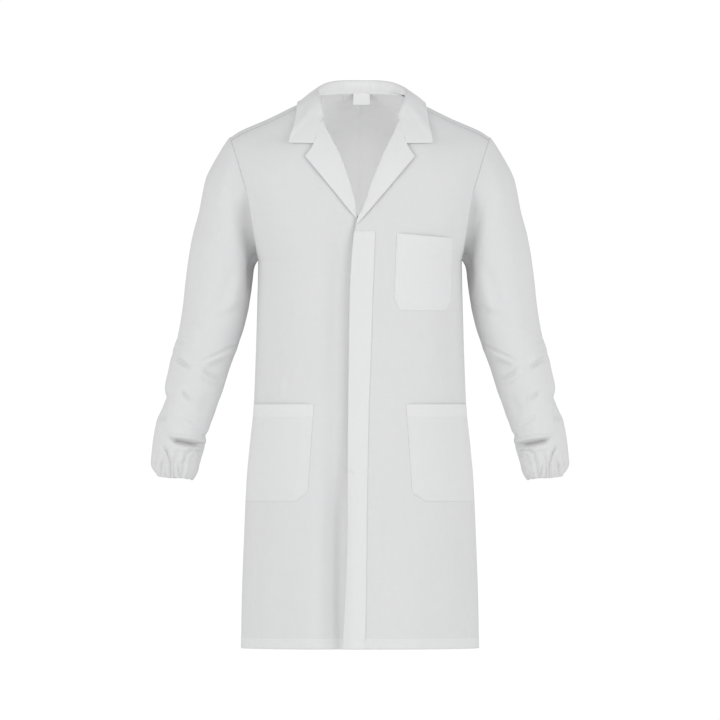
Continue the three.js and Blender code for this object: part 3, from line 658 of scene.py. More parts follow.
FRONT = {}
for side in (1, -1):
    S = "left" if side > 0 else "right"
    G, X, Z = front_grid(side)
    # the hem band takes the hem copy of the cotton, whose darker tone is painted shade
    hem = lambda c: np.where(c[:, 2] < HEM_Z + HEM_BAND, 1, 0)
    hi = 0.3 + 0.35 * step(HEM_Z + HEM_BAND + 1.0, HEM_Z + HEM_BAND, Z)
    p = part(G, lambda P: P * [0.4, 1, 0], -0.3, hi, uv=np.stack([X, Z], -1), mat=hem)
    FRONT[side] = (p, X, Z)
    q = side_part(p, side)
    reps = [f"{S}_front_chest", f"{S}_front_skirt"]
    ob = make(f"{S}_front", [q], [M_SINGLE, M_HEM], reps)
    blend_front(ob)
    declare(ob, p)
    # stitches: hem, and along the shoulder seam
    n, m = p["shape"]
    lo = []
    jh = row_j(Z, 0, HEM_Z + HEM_BAND - 2)
    i0 = 0 if side > 0 else 6
    lo += stitches(samp(p, ln(i0, n - 1.2, 700), jh))
    lo += stitches(samp(p, ln(1.5, n - 2, 500), m - 1 - 1.4), long=2.4)
    ob = make(f"{S}_front_stitches", [], [M_THREAD], loose=lo if side > 0 else mir_loose(lo), sharp=80)
    blend_front(ob)

    # ---- bands along the front edge
    mz = 240
    if side > 0:
        zz = np.linspace(HEM_Z + 0.0, -261, mz)[None, :]
        u = np.linspace(0, 1, 22)[:, None]
        xs = mix(pl_edge(zz), pl_stitch(zz), u)
        zz = np.broadcast_to(zz, xs.shape)
        G2 = front_pos(1, xs, zz)
        puff = 0.5 * np.sin(np.pi * u) + 0 * zz
        wr = fold(*view(xs, zz), [(361, 637), (366, 645)], 1.3, -1.1, 0.3) + fold(*view(xs, zz), [(349, 470), (354, 474)], 1.5, -0.9, 0.4)
        top = step(-260, -270, zz)
        pp = part(G2, (0, -1, 0), 0.45, 1.05 + (0.25 + 0.8 * puff) * top, uv=np.stack([xs, zz], -1), disp=wr + 0.15 * ripple(xs, zz, 9, 41, 3))
        ob = make("placket", [pp], [M_DOUBLE], ["left_placket"])
        blend_front(ob)
        declare(ob, pp)
        lo = stitches(samp(pp, 20.2, ln(0.5, mz - 2.4, 1400)), lift=0.1)
        lo += stitches(samp(pp, 1.0, ln(0.5, mz - 2.4, 1400)), lift=0.1)
        lo += stitches(samp(pp, ln(1.0, 20.2, 60), mz - 2.4))
        ob = make("placket_stitches", [], [M_THREAD], loose=lo, sharp=80)
        blend_front(ob)
        zf = np.linspace(HEM_Z + 40, -270, 160)[None, :]
        xs = mix(pl_edge(zf) + 4, pl_stitch(zf) - 3, np.linspace(0, 1, 10)[:, None])
        zf = np.broadcast_to(zf, xs.shape)
        pf = part(front_pos(1, xs, zf), (0, -1, 0), -1.7, -0.9, uv=np.stack([xs, zf], -1))
        ob = make("fly_strip", [pf], [M_DOUBLE], ["left_fly_strip"])
        blend_front(ob)
        declare(ob, pf)
    else:
        zf = np.linspace(HEM_Z + 2, -262, 200)[None, :]
        x0 = -(pl_stitch(zf) - 4) + 1
        xs = mix(x0, x0 + 57, np.linspace(0, 1, 20)[:, None])
        zf = np.broadcast_to(zf, xs.shape)
        pf = part(front_pos(-1, xs, zf), (0, -1, 0), -1.1, -0.5, uv=np.stack([xs, zf], -1))
        ob = make("right_facing", [mirror(pf)], [M_DOUBLE], ["right_front_facing"])
        blend_front(ob)
        declare(ob, pf)


# -------------------------------------------------------------------- pockets
def pocket(name, side, x_at, z_bot, z_top, node, band=25.0, mats=None, proud=2.4, cut=None):
    n, m = 46, 56
    u = np.linspace(0, 1, n)[:, None]
    v = np.linspace(0, 1, m)[None, :] ** 1.0
    zb, zt = z_bot(u), z_top(u)
    z = mix(zb, zt, v)
    x = x_at(u, z)
    G = front_pos(side, x, z)
    e = np.minimum(np.minimum(u, 1 - u) * 8.0, np.minimum(v * 8.0, 1)).clip(0, 1)
    e = e * e * (3 - 2 * e)
    gape = 1.1 * step(0.55, 1.0, v) * np.sin(np.pi * u)
    rise = 0.75 + (proud - 0.75) * e + gape
    depth = zt - z
    band_f = step(band + 1.2, band, depth)
    crease = -0.35 * np.exp(-((depth - band) / 1.1) ** 2)
    edge = -0.25 * np.exp(-((np.minimum(np.minimum(x - x.min(0), x.max(0) - x), z - zb) - 2.5) / 1.0) ** 2)
    w = 0.3 * ripple(x, z, 17, 51, 1.5) * e
    uv = np.stack(np.broadcast_arrays(x, z), -1)
    # the pocket's top band takes the double copy and the rest takes the pocket copy; their tones are painted light and
    # shade
    p = part(G, (0, -1, 0), rise + crease + edge + w - 0.3, rise + 0.3 + 0.25 * band_f + crease + edge + w, uv=uv,
             mat=lambda c: np.where(c[:, 2] > np.interp(c[:, 0], x[:, -1], np.broadcast_to(zt, (n, 1))[:, 0]) - band, 1, 0))
    ob = make(name, [side_part(p, side)], [M_CHEST if "chest" in name else M_POCKET, M_DOUBLE], [node])
    blend_front(ob)
    declare(ob, p)
    lo = []
    ins = 1.2
    iu = ins / 100 * (n - 1)
    lo += stitches(samp(p, iu * 1.1, ln(0.6, m - 1.4)))
    lo += stitches(samp(p, n - 1 - iu * 1.1, ln(0.6, m - 1.4)))
    lo += stitches(samp(p, ln(iu, n - 1 - iu), 0.55))
    jb = (1 - (band - 1.5) / float(np.mean(zt - zb))) * (m - 1)
    lo += stitches(samp(p, ln(iu, n - 1 - iu), jb))
    ob = make(name + "_stitches", [], [M_THREAD], loose=lo if side > 0 else mir_loose(lo), sharp=80)
    blend_front(ob)


pocket("chest_pocket_patch", 1, lambda u, z: mix(69, 172.6, u) - mix(6, 3.8, u) * np.clip((-268 - z) / 138, 0, 1),
       lambda u: -408 + 21 * np.maximum(0, 1 - u / 0.10) + 17 * np.maximum(0, 1 - (1 - u) / 0.09) - 1.5 * u,
       lambda u: mix(-265, -273.5, u), "chest_pocket", band=22.0)
for side in (1, -1):
    S = "left" if side > 0 else "right"

    def hip_x(u, z):
        w = half_width(z)
        x0 = mix(99, 86.5, (z + 767) / 182)
        return w * np.sin(mix(np.arcsin(x0 / w), math.radians(84.5), u))
    pocket(f"{S}_hip_pocket_patch", side, hip_x,
           lambda u: -767 + 17 * np.maximum(0, 1 - u / 0.13) + 6 * np.maximum(0, 1 - (1 - u) / 0.09),
           lambda u: -585 + 0 * u, f"{S}_hip_pocket", band=23.0, proud=2.6)


# ----------------------------------------------------------------- back panels
def back_grid(side):
    n, m1, m2 = 76, 150, 74
    u = np.linspace(0, 1, n)[:, None]
    s = np.sin(u * math.pi / 2)
    zl = np.linspace(HEM_Z, ARMPIT_Z, m1)[None, :]
    vent = step(-737, -747.5, zl) if side < 0 else 0 * zl
    vin = step(-697, -735, zl) if side < 0 else 0 * zl
    x0 = 0.25 - vent * 25
    xl = mix(x0, half_width(zl), s)
    zl = np.broadcast_to(zl, xl.shape)
    yl = back_y(xl, zl) + 0.45 - vin * 3.4 * (1 - step(0, 34, xl)) + back_folds(side * xl, zl)
    # upper part: rows crowd towards the shoulder ridge and go on over it
    q = np.linspace(0, 1, m2)[1:][None, :]
    H = ridge(mix(84.5, SHOULDER_X, u)) - ARMPIT_Z
    ext = np.linspace(0, 1, 9)[1:][None, :]
    xt = mix(0.25, SHOULDER_X - 0.4, u)
    nz = curve(NECK_Z)(xt)
    neck = xt < 84.0
    t = mix(q, 1 - (1 - q) ** 2, step(20, 82, xt))
    zt = np.where(neck, nz, ridge(xt))
    z = mix(ARMPIT_Z, zt, t)
    ub = s
    xe = half_width(mix(ARMPIT_Z, SHOULDER_Z, t)) - 0.4
    x = mix(0.25, xe, mix(ub, u, t))
    y = back_y(x, z) + 0.45 + back_folds(side * x, z) * step(-40, -140, z)
    drop = SEAM_DROP * ext**2
    x2 = np.broadcast_to(mix(0.25, half_width(SHOULDER_Z - drop) - 0.4 + 0 * u, u), (n, 8))
    z2 = ridge(x2) - drop
    y2 = front_y(x2, z2) - 0.45
    X, Y, Z = np.concatenate([xl, x, x2], 1), np.concatenate([yl, y, y2], 1), np.concatenate([zl, z, z2], 1)
    mask = np.ones(X.shape, bool)
    mask[:, m1 + m2 - 1:] = ~neck
    return np.stack([X, Y, Z], -1), mask, X, Z, m1


for side in (1, -1):
    S = "left" if side > 0 else "right"
    G, mask, X, Z, m1 = back_grid(side)
    # the hem band takes the hem copy of the cotton, whose darker tone is painted shade
    hem = lambda c: np.where(c[:, 2] < HEM_Z + HEM_BAND, 1, 0)
    hi = 0.3 + 0.35 * step(HEM_Z + HEM_BAND + 1.0, HEM_Z + HEM_BAND, Z)
    # the join at the centre sinks a little
    G[..., 1] -= 0.8 * np.exp(-np.abs(X) / 2.0) * (Z > -735)
    p = part(G, lambda P: np.stack([P[:, 0] * 0.4, P[:, 1], np.where(P[:, 2] > -100, 60, 0)], 1), -0.3, hi, mask=mask, uv=np.stack([X, Z], -1), mat=hem)
    ob = make(f"{S}_back", [side_part(p, side)], [M_SINGLE, M_HEM], [f"{S}_back_panel"])
    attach(ob, "torso")
    w, l, a = flat_of(p, "")
    n, m = p["shape"]
    round(min(a, w * l * 0.99), 4)
    round(min(a, w * l * 0.99), 4)
    lo = []
    jh = row_j(Z, 30, HEM_Z + HEM_BAND - 2)
    lo += stitches(samp(p, ln(2 if side > 0 else 14, n - 1.2, 700), jh))
    if side > 0:
        lo += stitches(samp(p, 2.2, ln(row_j(Z, 2, -1040), m1 + 66, 1500)))
        lo += stitches(samp(p, 6.0, ln(row_j(Z, 6, -735), m1 + 66, 1400)))
        lo += stitches(samp(p, ln(1, 7.5, 60), row_j(Z, 4, -741)))
        lo += stitches(samp(p, ln(1, 7.5, 60), row_j(Z, 4, -737)))
    lo += stitches(samp(p, ln(32, n - 2, 500), m - 2.4), long=2.4)
    ob = make(f"{S}_back_stitches", [], [M_THREAD], loose=lo if side > 0 else mir_loose(lo), sharp=80)
    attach(ob, "torso")


# -------------------------------------------------------------------- sleeves
sec_f = [curve([[r[0], r[k]] for r in SLEEVE]) for k in range(1, 6)]


def ring(sec, a, grow=0.0):
    ox, oz, ix, iz, d = sec
    cx, cz, hx, hz = (ox + ix) / 2, (oz + iz) / 2, (ox - ix) / 2, (oz - iz) / 2
    L = np.hypot(hx, hz)
    k = (L + grow) / L
    return np.stack(np.broadcast_arrays(cx + hx * k * np.cos(a), -(d + grow) * np.sin(a), cz + hz * k * np.cos(a)), -1)


# gathers round the cuff: angle (degrees), strength
GATHER = [(12, 0.5), (36, 0.9), (62, 1.0), (87, 1.1), (110, 1.0), (131, 0.35), (163, 1.0), (186, 0.8), (207, 0.9), (229, 0.7), (251, 1.0), (273, 0.8), (296, 1.0), (318, 0.8), (340, 0.9)]


def gather(a, t):
    """t: 0 well above the cuff, 1 at its lower edge."""
    r = np.zeros(np.broadcast(a, t).shape)
    deg = np.degrees(a)
    for k, (c, s) in enumerate(GATHER):
        c2 = c + (1 - t) * (4 if k % 2 else -5)
        d = (deg - c2 + 180) % 360 - 180
        on = step(0.30 + 0.13 * ((k * 7) % 3), 0.9, t)
        r = r - s * 3.6 * on * np.exp(-((d / (3.4 + 1.0 * (k % 3))) ** 2))
        r = r + s * 0.9 * on * (np.exp(-(((d - 11) / 7.0) ** 2)) + np.exp(-(((d + 11) / 7.0) ** 2)))
    return r


def sleeve_folds(px, py, back):
    """Outward displacement of the sleeve's seen half; px, py as for the sleeve on the left of the view."""
    f = lambda *a, **k: fold(px, py, *a, **k)
    d = 0 * px
    # head and upper arm; the deep hollow beside the armpit is made outside this function, with the armhole seam
    d = d + f([(232, 150), (226, 176), (222, 205)], 7, 2.0, 0.4)
    d = d + f([(216, 180), (206, 225), (204, 270)], 10, 1.5, 0.4)
    d = d + f([(246, 262), (234, 296), (224, 324)], 5, 2.2, 0.35, 6, -2.0, 1.9)
    d = d + f([(250, 300), (234, 312), (214, 320)], 4.5, -2.0, 0.4, 5, 1.6, 1.8)
    d = d + f([(183, 318), (193, 326), (206, 331)], 3.4, -1.8, 0.5, 4, 1.4, 1.6)
    e = 0 * px
    # elbow
    e = e + f([(177, 338), (181, 341.5), (186, 343)], 1.8, -1.6, 0.4, 3, 0.9, -1.6)
    e = e + f([(171, 354), (181, 361.6), (192, 371)], 2.2, -3.4, 0.35, 3.6, 2.4, -1.8)
    e = e + f([(240, 343), (220, 353.5), (199, 363)], 1.6, -2.2, 0.35, 3.0, 1.6, -1.9)
    e = e + f([(200, 366), (209, 374.5), (223, 381.5)], 2.0, -2.6, 0.35, 3.0, 2.2, 1.9)
    e = e + f([(230, 360), (216, 366), (206, 368)], 5.5, -2.8, 0.4)
    # forearm
    e = e + f([(180, 389), (186, 392), (191, 398), (193.5, 405)], 1.9, 2.0, 0.4, 3.0, -1.8, 1.9)
    e = e + f([(179, 411), (189, 419), (204, 428.5)], 2.6, -1.4, 0.4, 4, 1.2, 1.7)
    e = e + f([(214, 392), (206, 405), (200, 420)], 5, -1.4, 0.4)
    d = d + 1.8 * e
    # facet and dent at the outer edge
    win = step(392, 401, py) * step(424, 414, py)
    d = d - 7.5 * step(167.6, 165.0, px) * step(156.5, 162, px) * win
    d = d - 5.5 * np.exp(-((py - 396) / 5.5) ** 2) * step(176, 163, px)
    # the inner edge nicks in above the cuff
    d = d - 5.0 * np.exp(-((py - 437.5) / 3.2) ** 2) * step(198, 206, px)
    d = d + 1.6 * np.exp(-((py - 444.5) / 3.0) ** 2) * step(198, 206, px)
    # the deep fold above the cuff: a leaf-shaped hollow under a hanging lip
    k = 1.0 if not back else 0.5
    d = d + f([(168, 439.2), (178, 441.4), (189, 443.8), (197, 445.3), (209, 444.0)], 2.1, -16.0 * k, 0.28)
    d = d + f([(164, 434.0), (176, 436.2), (187, 437.0), (197, 439.2), (207, 438.6)], 2.3, 6.6 * k, 0.3)
    d = d + f([(168, 446), (178, 448.2), (190, 450.0), (203, 449.5)], 2.4, 2.4 * k, 0.35)
    # folds running down into the cuff
    d = d + f([(161.5, 443), (167.2, 452), (170.4, 463), (170.8, 478)], 1.5, -5.6, 0.25, 2.6, 2.4, 1.9, True)
    d = d + f([(186.4, 456), (189.5, 450.9), (195, 449.2), (199.7, 451.4), (198.7, 457.6), (196.0, 463)], 1.6, -6.0, 0.25, 2.4, 2.0, 1.9)
    d = d + f([(185.4, 446), (184, 454.5), (181, 464)], 2.0, 2.4, 0.35)
    d = d + f([(161.2, 460), (162.0, 475)], 1.2, -3.6, 0.4, open_end=True)
    d = d + f([(154.6, 459), (155.8, 474)], 1.2, -3.2, 0.4, open_end=True)
    d = d + f([(177.6, 460), (178.8, 470), (180.0, 480)], 1.2, -4.2, 0.4, open_end=True)
    d = d + f([(193.0, 475), (195.5, 470), (199, 464)], 1.5, -3.4, 0.4)
    return d


CUFF_RING = {}
for side in (1, -1):
    S = "left" if side > 0 else "right"
    na = 168
    a = (np.arange(na) / na * 2 * math.pi)[:, None]
    sv = np.concatenate([np.linspace(0, 0.03, 9)[:-1], np.linspace(0.03, 0.80, 150)[:-1], np.linspace(0.80, 1.0, 104)[:-1], np.linspace(1.0, 1.04, 24)])[None, :]
    te = np.clip((sv - 1) / 0.04, 0, 1)
    sec = [np.where(sv <= 1, f(np.minimum(sv, 1)), mix(SLEEVE[-1][k + 1], CUFF_END[k], te if k in (1, 3) else te**1.9)) for k, f in enumerate(sec_f)]
    G = ring(sec, a)
    # first ring: the armhole line of the panels
    z0 = ZC + ZR * np.cos(a)
    frontside = np.sin(a) >= 0
    x0 = half_width(z0) + 0.4 - np.where(frontside, arm_in(z0), 0)
    y0 = np.where(frontside, front_y(x0 - 0.8, z0) - 0.45, back_y(x0 - 0.8, z0) + 0.45)
    R0 = np.stack([x0, y0, z0], -1)
    k = step(0.0, 0.055, sv)[..., None]
    G = mix(R0, G, k)
    # the sleeve's centre, which sets its outward side; the fuller head and the sunk seam are made below with the folds
    cen = G.mean(0, keepdims=True)
    t_all = step(0.86, 1.0, sv)
    G[..., :] += 0
    P0 = G.reshape(-1, 3)
    quads = orient(P0, grid_quads(na, G.shape[1], True), lambda P: (G - cen).reshape(-1, 3))
    Nn = vert_normals(P0, quads).reshape(G.shape)
    X, Z = G[..., 0], G[..., 2]
    px, py = 360 - X / 1.88, 93 - Z / 1.88
    front = np.sin(a) > 0
    wgt = np.clip(np.abs(np.sin(a)) * 2.2, 0, 1)
    fr = sleeve_folds(px, py, False)
    bk = sleeve_folds(px + 1.5, py + 3.0, True) * 0.75
    edge_mix = step(-0.35, 0.35, np.sin(a))
    d = mix(bk, fr, edge_mix)
    d = d + 0.55 * ripple(np.degrees(a) * 0.9 + 0 * sv, sv * 640 + 0 * a, 34, 61, 1.2) * step(0.02, 0.12, sv)
    d = d + 0.8 * ripple(np.degrees(a) * 0.9 + 0 * sv, sv * 640 + 0 * a, 60, 63, 1.0) * step(0.02, 0.12, sv)
    d = d * step(0.0, 0.022, sv)
    pit = fold(px, py, [(246, 182), (250, 206), (254.2, 235), (257, 253), (258, 264), (255, 300)], 11.5, -13.5, 0.28) * step(-0.1, 0.3, np.sin(a))
    pit = pit + fold(px, py, [(248, 200), (254.2, 235), (257, 253), (258, 264), (255, 300)], 8, -5.0, 0.3) * step(0.1, -0.3, np.sin(a))
    d = d + pit * step(0.0, 0.007, sv)
    d = d + gather(a, step(0.90, 1.0, sv)) * step(0.90, 1.0, sv) * mix(0.8, 1.0, te) * (1 - 0.7 * np.cos(a) ** 8)
    d = d - 0.9 * np.exp(-sv / 0.006)                       # armhole seam
    d = d + 1.5 * np.exp(-((sv - 0.03) / 0.025) ** 2)       # the cap stands over the seam
    G2 = G + Nn * d[..., None]
    # the lower edge runs a little unevenly with the gathers
    G2[..., 2] = mix(G2[..., 2], G[..., 2], step(0.1, 0.75, te))
    G2[..., 2] += (0.8 * np.cos(a * 3 + 0.4) + 0.45 * np.cos(a * 7 + 0.6) + 0.35 * np.cos(a * 11 + 2.0)) * step(0.1, 1, te)
    th = np.degrees(a) / 360 * 330 + 0 * sv
    p = part(G2, lambda P: (G - cen).reshape(-1, 3), -0.3, 0.3, wrap=True, uv=np.stack([th, sv * 640 + 0 * a], -1))
    ob = make(f"{S}_sleeve_cloth", [side_part(p, side)], [M_SINGLE], [f"{S}_sleeve"])
    blend_sleeve(ob)
    q = flat_of(p, "")
    wl = (round(q[0] * na / (na - 1), 3), round(q[1], 3))
    round(min(q[2], wl[0] * wl[1]), 4)

    # ---- cuff hem: the sleeve's end turned in round the elastic, and back up inside
    rows = np.arange(G2.shape[1] - 24, G2.shape[1])
    N2 = p["N"].reshape(G2.shape)
    E0, En = G2[:, -1], N2[:, -1]
    T = G2[:, -1] - G2[:, -3]
    T = T + np.roll(T, 2, 0) + np.roll(T, -2, 0) + np.roll(T, 4, 0) + np.roll(T, -4, 0)
    T = T / np.linalg.norm(T, axis=1, keepdims=True)
    ph = np.linspace(0, math.pi, 8)[None, :, None]
    lip = E0[:, None] + T[:, None] * (1.0 * np.sin(ph)) - En[:, None] * (0.95 * (1 - np.cos(ph)))
    back_up = (G2[:, rows] - N2[:, rows] * 1.9)[:, ::-1][:, 1:]
    C = np.concatenate([lip, back_up], 1)
    ref = np.concatenate([En[:, None] * np.cos(ph) + T[:, None] * np.sin(ph), -N2[:, rows][:, ::-1][:, 1:]], 1)
    arc = np.concatenate([np.zeros((1, 1)), np.cumsum(np.linalg.norm(np.diff(C, axis=1), axis=2).mean(0))[None, :]], 1)
    pc = part(C, lambda P: ref.reshape(-1, 3), -0.35, 0.35, wrap=True, uv=np.stack(np.broadcast_arrays(th[:, :1], arc), -1))
    ob = make(f"{S}_cuff", [side_part(pc, side)], [M_DOUBLE], [f"{S}_cuff_casing", f"{S}_cuff_elastic"])
    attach(ob, "left_sleeve_body" if side > 0 else "right_sleeve_body")
    q = flat_of(pc, "")
    wl = (round(q[0] * na / (na - 1), 3), round(q[1], 3))
    round(min(q[2], wl[0] * wl[1]), 5)
    lo = stitches(samp(p, ln(0, na - 1.01, 1200), G2.shape[1] - 12.0), long=2.2, gap=0.9, r=0.26)
    ob = make(f"{S}_cuff_stitches", [], [M_THREAD], loose=lo if side > 0 else mir_loose(lo), sharp=80)
    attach(ob, "left_sleeve_body" if side > 0 else "right_sleeve_body")


# -------------------------------------------------------------------- lapels
lap_xc = {1: curve([[0.17, 102.6], [0.55, 57], [1, -5]]), -1: curve([[0.17, 102.6], [0.55, 59], [1, 6]])}
lap_zc = {1: curve([[0.17, -119.9], [0.55, -174.5], [1, -247]]), -1: curve([[0.17, -119.9], [0.55, -172.8], [1, -238]])}


def lap_x(side, v):
    return np.where(v < 0.17, 79.7 + 22.9 * v / 0.17, lap_xc[side](np.maximum(v, 0.17)))


def lap_z(side, v):
    return np.where(v < 0.17, -92.5 - 27.4 * v / 0.17, lap_zc[side](np.maximum(v, 0.17)))



for side in (1, -1):
    S = "left" if side > 0 else "right"
    v = np.concatenate([np.linspace(0, 0.17, 16)[:-1], np.linspace(0.17, 1, 66)])[None, :]
    n = 34
    # from under the fold, round the roll line, then out over the chest
    lead = 7
    ub = np.linspace(0, 1, n)[:, None]
    zi = mix(-41, -243.5 if side > 0 else -233, v)
    xi = roll_at(side, zi) + 0.5
    xo, zo = lap_x(side, v), lap_z(side, v)
    x = mix(xi, xo, ub)
    z = mix(zi, zo, ub)
    tuckin = np.sin(np.pi * np.clip(ub, 0, 1)) * (1 - step(0, 0.06, v))     # goes in under the collar along the notch seam
    x, z = x + 6.0 * tuckin, z + 5.0 * tuckin
    w = np.hypot(xo - xi, zo - zi)
    lay = 2.6 + 2.4 * np.sin(np.pi * np.clip(ub, 0, 1)) ** 1.0 * step(0, 40, w) + 0.9 * ub
    lay = lay + 0.5 * ripple(x, z, 30, 71 + side, 1.4) * ub
    lay = lay * mix(0.32, 1.0, step(0.0, 0.055, v)) * mix(1.0, 0.45, step(0.86, 1.0, v))
    # soft dents towards the tip
    pxl, pyl = 360 - x / 1.88, 93 - z / 1.88
    lay = lay + fold(pxl, pyl, [(322, 160), (334, 178), (346, 200)], 5, -0.9, 0.4) + fold(pxl, pyl, [(308, 153), (316, 166), (330, 184)], 4, 0.9, 0.4)
    G = front_pos(side, x, z)
    G[..., 1] -= lay
    # the roll: a half turn at the inner edge
    th = np.linspace(math.pi, 0.15, lead)[:, None]
    r = (lay[0:1] + 0.2) / 2
    Gr = np.broadcast_to(G[0:1], (lead,) + G.shape[1:]).copy()
    Gr[..., 0] -= r * np.sin(th) * 0.9
    Gr[..., 1] += r * (1 - np.cos(th))
    tail = Gr[0:1].copy()
    tail[..., 0] += 3.0
    GG = np.concatenate([tail, Gr, G], 0)
    arc = np.concatenate([np.zeros((1, GG.shape[1])), np.cumsum(np.linalg.norm(np.diff(GG, axis=0), axis=2), 0)])
    p = part(GG, lambda P: np.concatenate([np.zeros((lead + 1, GG.shape[1], 3)), np.broadcast_to(np.array([0, -1.0, 0]), G.shape)]).reshape(-1, 3), -0.5, 0.5, uv=np.stack([arc, np.broadcast_to(z[0:1], arc.shape)], -1))
    ob = make(f"{S}_lapel_fold", [side_part(p, side)], [M_DOUBLE], [f"{S}_lapel"])
    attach(ob, "torso")
    declare(ob, p)
    nn, mm_ = p["shape"]
    lo = stitches(samp(p, nn - 1 - 1.0, ln(14, mm_ - 8, 700)), long=2.6)
    lo += stitches(samp(p, ln(lead + 12, nn - 2, 200), 13.2), long=2.6)
    ob = make(f"{S}_lapel_stitches", [], [M_THREAD], loose=lo if side > 0 else mir_loose(lo), sharp=80)
    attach(ob, "torso")


# -------------------------------------------------------------------- collar
COLLAR = [
    [[0, 62.5, 0.5], [0, 66, 23.5], [0, 112, -42]], [[26, 57.5, 0.2], [27, 61, 23.2], [40, 108, -43]],
    [[50, 43.5, -1], [51, 46.5, 21], [74, 88, -42]], [[68, 26, -2.5], [69.5, 28, 14.5], [103, 52, -34]],
    [[79.5, 3, -3.5], [81, 3, 5], [118, 2, -20]], [[78.5, -18, -9], [80, -20, -3], [121, -34, -37]],
    [[75, -40, -22.5], [76.5, -42, -17], [126, -62, -67]], [[71.5, -52, -35], [73, -54.5, -30.5], [130.5, -76, -97]],
    [[67, -61, -50.5], [70, -64.5, -48], [85, -84, -100]]]
cs = [[curve([[i / 8, r[k][ax]] for i, r in enumerate(COLLAR)]) for ax in range(3)] for k in range(3)]


def ckey(k, s):
    p = np.stack([f(np.abs(s)) for f in cs[k]], -1)
    # the two sides are not quite alike: one rolls wider at the neck, the other has the slimmer leaf
    wide = curve([[-1, 0], [0.2, 0], [0.375, 3], [0.5, 6], [0.625, 8.5], [0.75, 8], [0.875, 6], [1, 2.5]])(s) if k < 2 else curve([[-1, 0], [-0.875, 0], [-0.75, -3], [-0.625, -4.5], [-0.5, -3.5], [-0.3, 0], [0.3, 0], [0.5, 3], [0.625, 3], [0.875, 3], [1, 0]])(s)
    p[..., 0] = np.where(s < 0, -p[..., 0] - wide, p[..., 0] + wide)
    return p


def collar_at(s, w):
    s, w = np.broadcast_arrays(np.asarray(s, float), np.asarray(w, float))
    N, R, E = ckey(0, s), ckey(1, s), ckey(2, s)
    o = E - R
    o[..., 2] = 0
    o = o / np.linalg.norm(o, axis=-1, keepdims=True)
    up = np.array([0, 0, 1.0])
    W = w[..., None]
    R0 = R - o * 1.4 - up * 1.6
    R1 = R + o * 1.8 - up * 1.4
    bulge = 1 - np.abs(s) * 0.6
    t = np.clip((w - 0.42) / 0.58, 0, 1)
    T = t[..., None]
    c = mix(R1, E, T) + o * (8 * bulge * t * (1 - t))[..., None] + up * (5 * bulge * t * (1 - t))[..., None]
    c = clear_of(c, 2.0 + 1.0 * t)
    # a smooth roll in place of the two flats
    ph = np.clip((W - 0.26) / 0.16, 0, 1)
    arc = R0 * (1 - ph) ** 2 + 2 * (R + up * 0.6) * ph * (1 - ph) + R1 * ph**2
    return np.where(W < 0.26, mix(N, R0, W / 0.26), np.where(W < 0.42, arc, c))


sg = np.linspace(-1, 1, 181)[:, None]
wg = np.concatenate([np.linspace(0, 0.26, 12)[:-1], np.linspace(0.26, 0.42, 12)[:-1], np.linspace(0.42, 1, 36)])[None, :]
G = collar_at(sg, wg)
dis = 1.5 + 0.35 * ripple(sg * 190 + 0 * wg, wg * 80 + 0 * sg, 20, 81, 1.3)
stand = step(0.30, 0.22, wg)
for s0, wd, am in ((-0.17, 0.012, 0.8), (-0.19, 0.012, -0.8), (0.085, 0.010, -0.7), (0.105, 0.012, 0.6), (0.20, 0.016, 0.5), (-0.02, 0.014, 0.4), (0.31, 0.02, -0.6), (-0.36, 0.02, 0.6)):
    dis = dis + 1.5 * stand * am * np.exp(-(((sg - s0) / wd) ** 2))
fall = step(0.5, 0.75, wg)
for sgn in (-1, 1):
    dis = dis + fall * (1.6 * np.exp(-((sgn * sg - 0.80) / 0.06) ** 2) - 1.2 * np.exp(-((sgn * sg - 0.68) / 0.05) ** 2))
ref = vert_normals(G.reshape(-1, 3), grid_quads(*G.shape[:2]))
uvc = np.stack([sg * 195 + 0 * wg, wg * 95 + 0 * sg], -1)
# the normal of the fall at the back faces up and back
mid_ok = (lambda P: np.where((np.arange(len(P)) // G.shape[1] > 80)[:, None] & (np.arange(len(P)) // G.shape[1] < 100)[:, None] & (np.arange(len(P)) % G.shape[1] > 26)[:, None], np.array([[0, 1.0, 0.6]]), 0.0))
pcol = part(G, mid_ok, -1.2, 1.2, uv=uvc, disp=dis)
ob = make("collar", [pcol], [M_DOUBLE], ["upper_collar", "collar_interlining", "under_collar"])
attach(ob, "torso")
w_, l_, a_ = flat_of(pcol, "")
round(min(a_, w_ * l_ * 0.99), 4)
nc, mc = pcol["shape"]
lo = stitches(samp(pcol, ln(3, nc - 4, 1600), mc - 1 - 2.2), long=2.6)
lo += stitches(samp(pcol, 2.4, ln(24, mc - 3, 200)), long=2.6) + stitches(samp(pcol, nc - 1 - 2.4, ln(24, mc - 3, 200)), long=2.6)
lo += stitches(samp(pcol, ln(20, nc - 21, 1300), 1.2), long=2.6)
ob = make("collar_stitches", [], [M_THREAD], loose=lo, sharp=80)
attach(ob, "torso")

# --------------------------------------------------------------------- label
u = np.linspace(-0.5, 0.5, 30)[:, None]
v = np.linspace(0, 1, 24)[None, :]
lx = 3 + u * 31 + 0 * v
lz = 1.5 - v * 22 + 0 * u
ly = 59.3 - 0.5 * np.sin(np.pi * v) * np.cos(u * 3) - 0.25 * np.cos(u * 9) * v
pl = part(np.stack([lx, ly, lz], -1), (0, -1, 0), -0.22, 0.22, uv=np.stack([lx, lz], -1))
ob = make("neck_label_cloth", [pl], [M_LABEL], ["neck_label"])
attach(ob, "label")
declare(ob, pl)
lo = stitches(samp(pl, ln(1, 28), 1.6), long=1.6, gap=0.7, r=0.2)
lo += stitches(samp(pl, 1.2, ln(2, 22.5)), long=1.6, gap=0.7, r=0.2) + stitches(samp(pl, 27.8, ln(2, 22.5)), long=1.6, gap=0.7, r=0.2)
ob = make("neck_label_stitches", [], [M_THREAD], loose=lo, sharp=80)
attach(ob, "label")
tx = np.linspace(-32, 32, 60)[:, None]
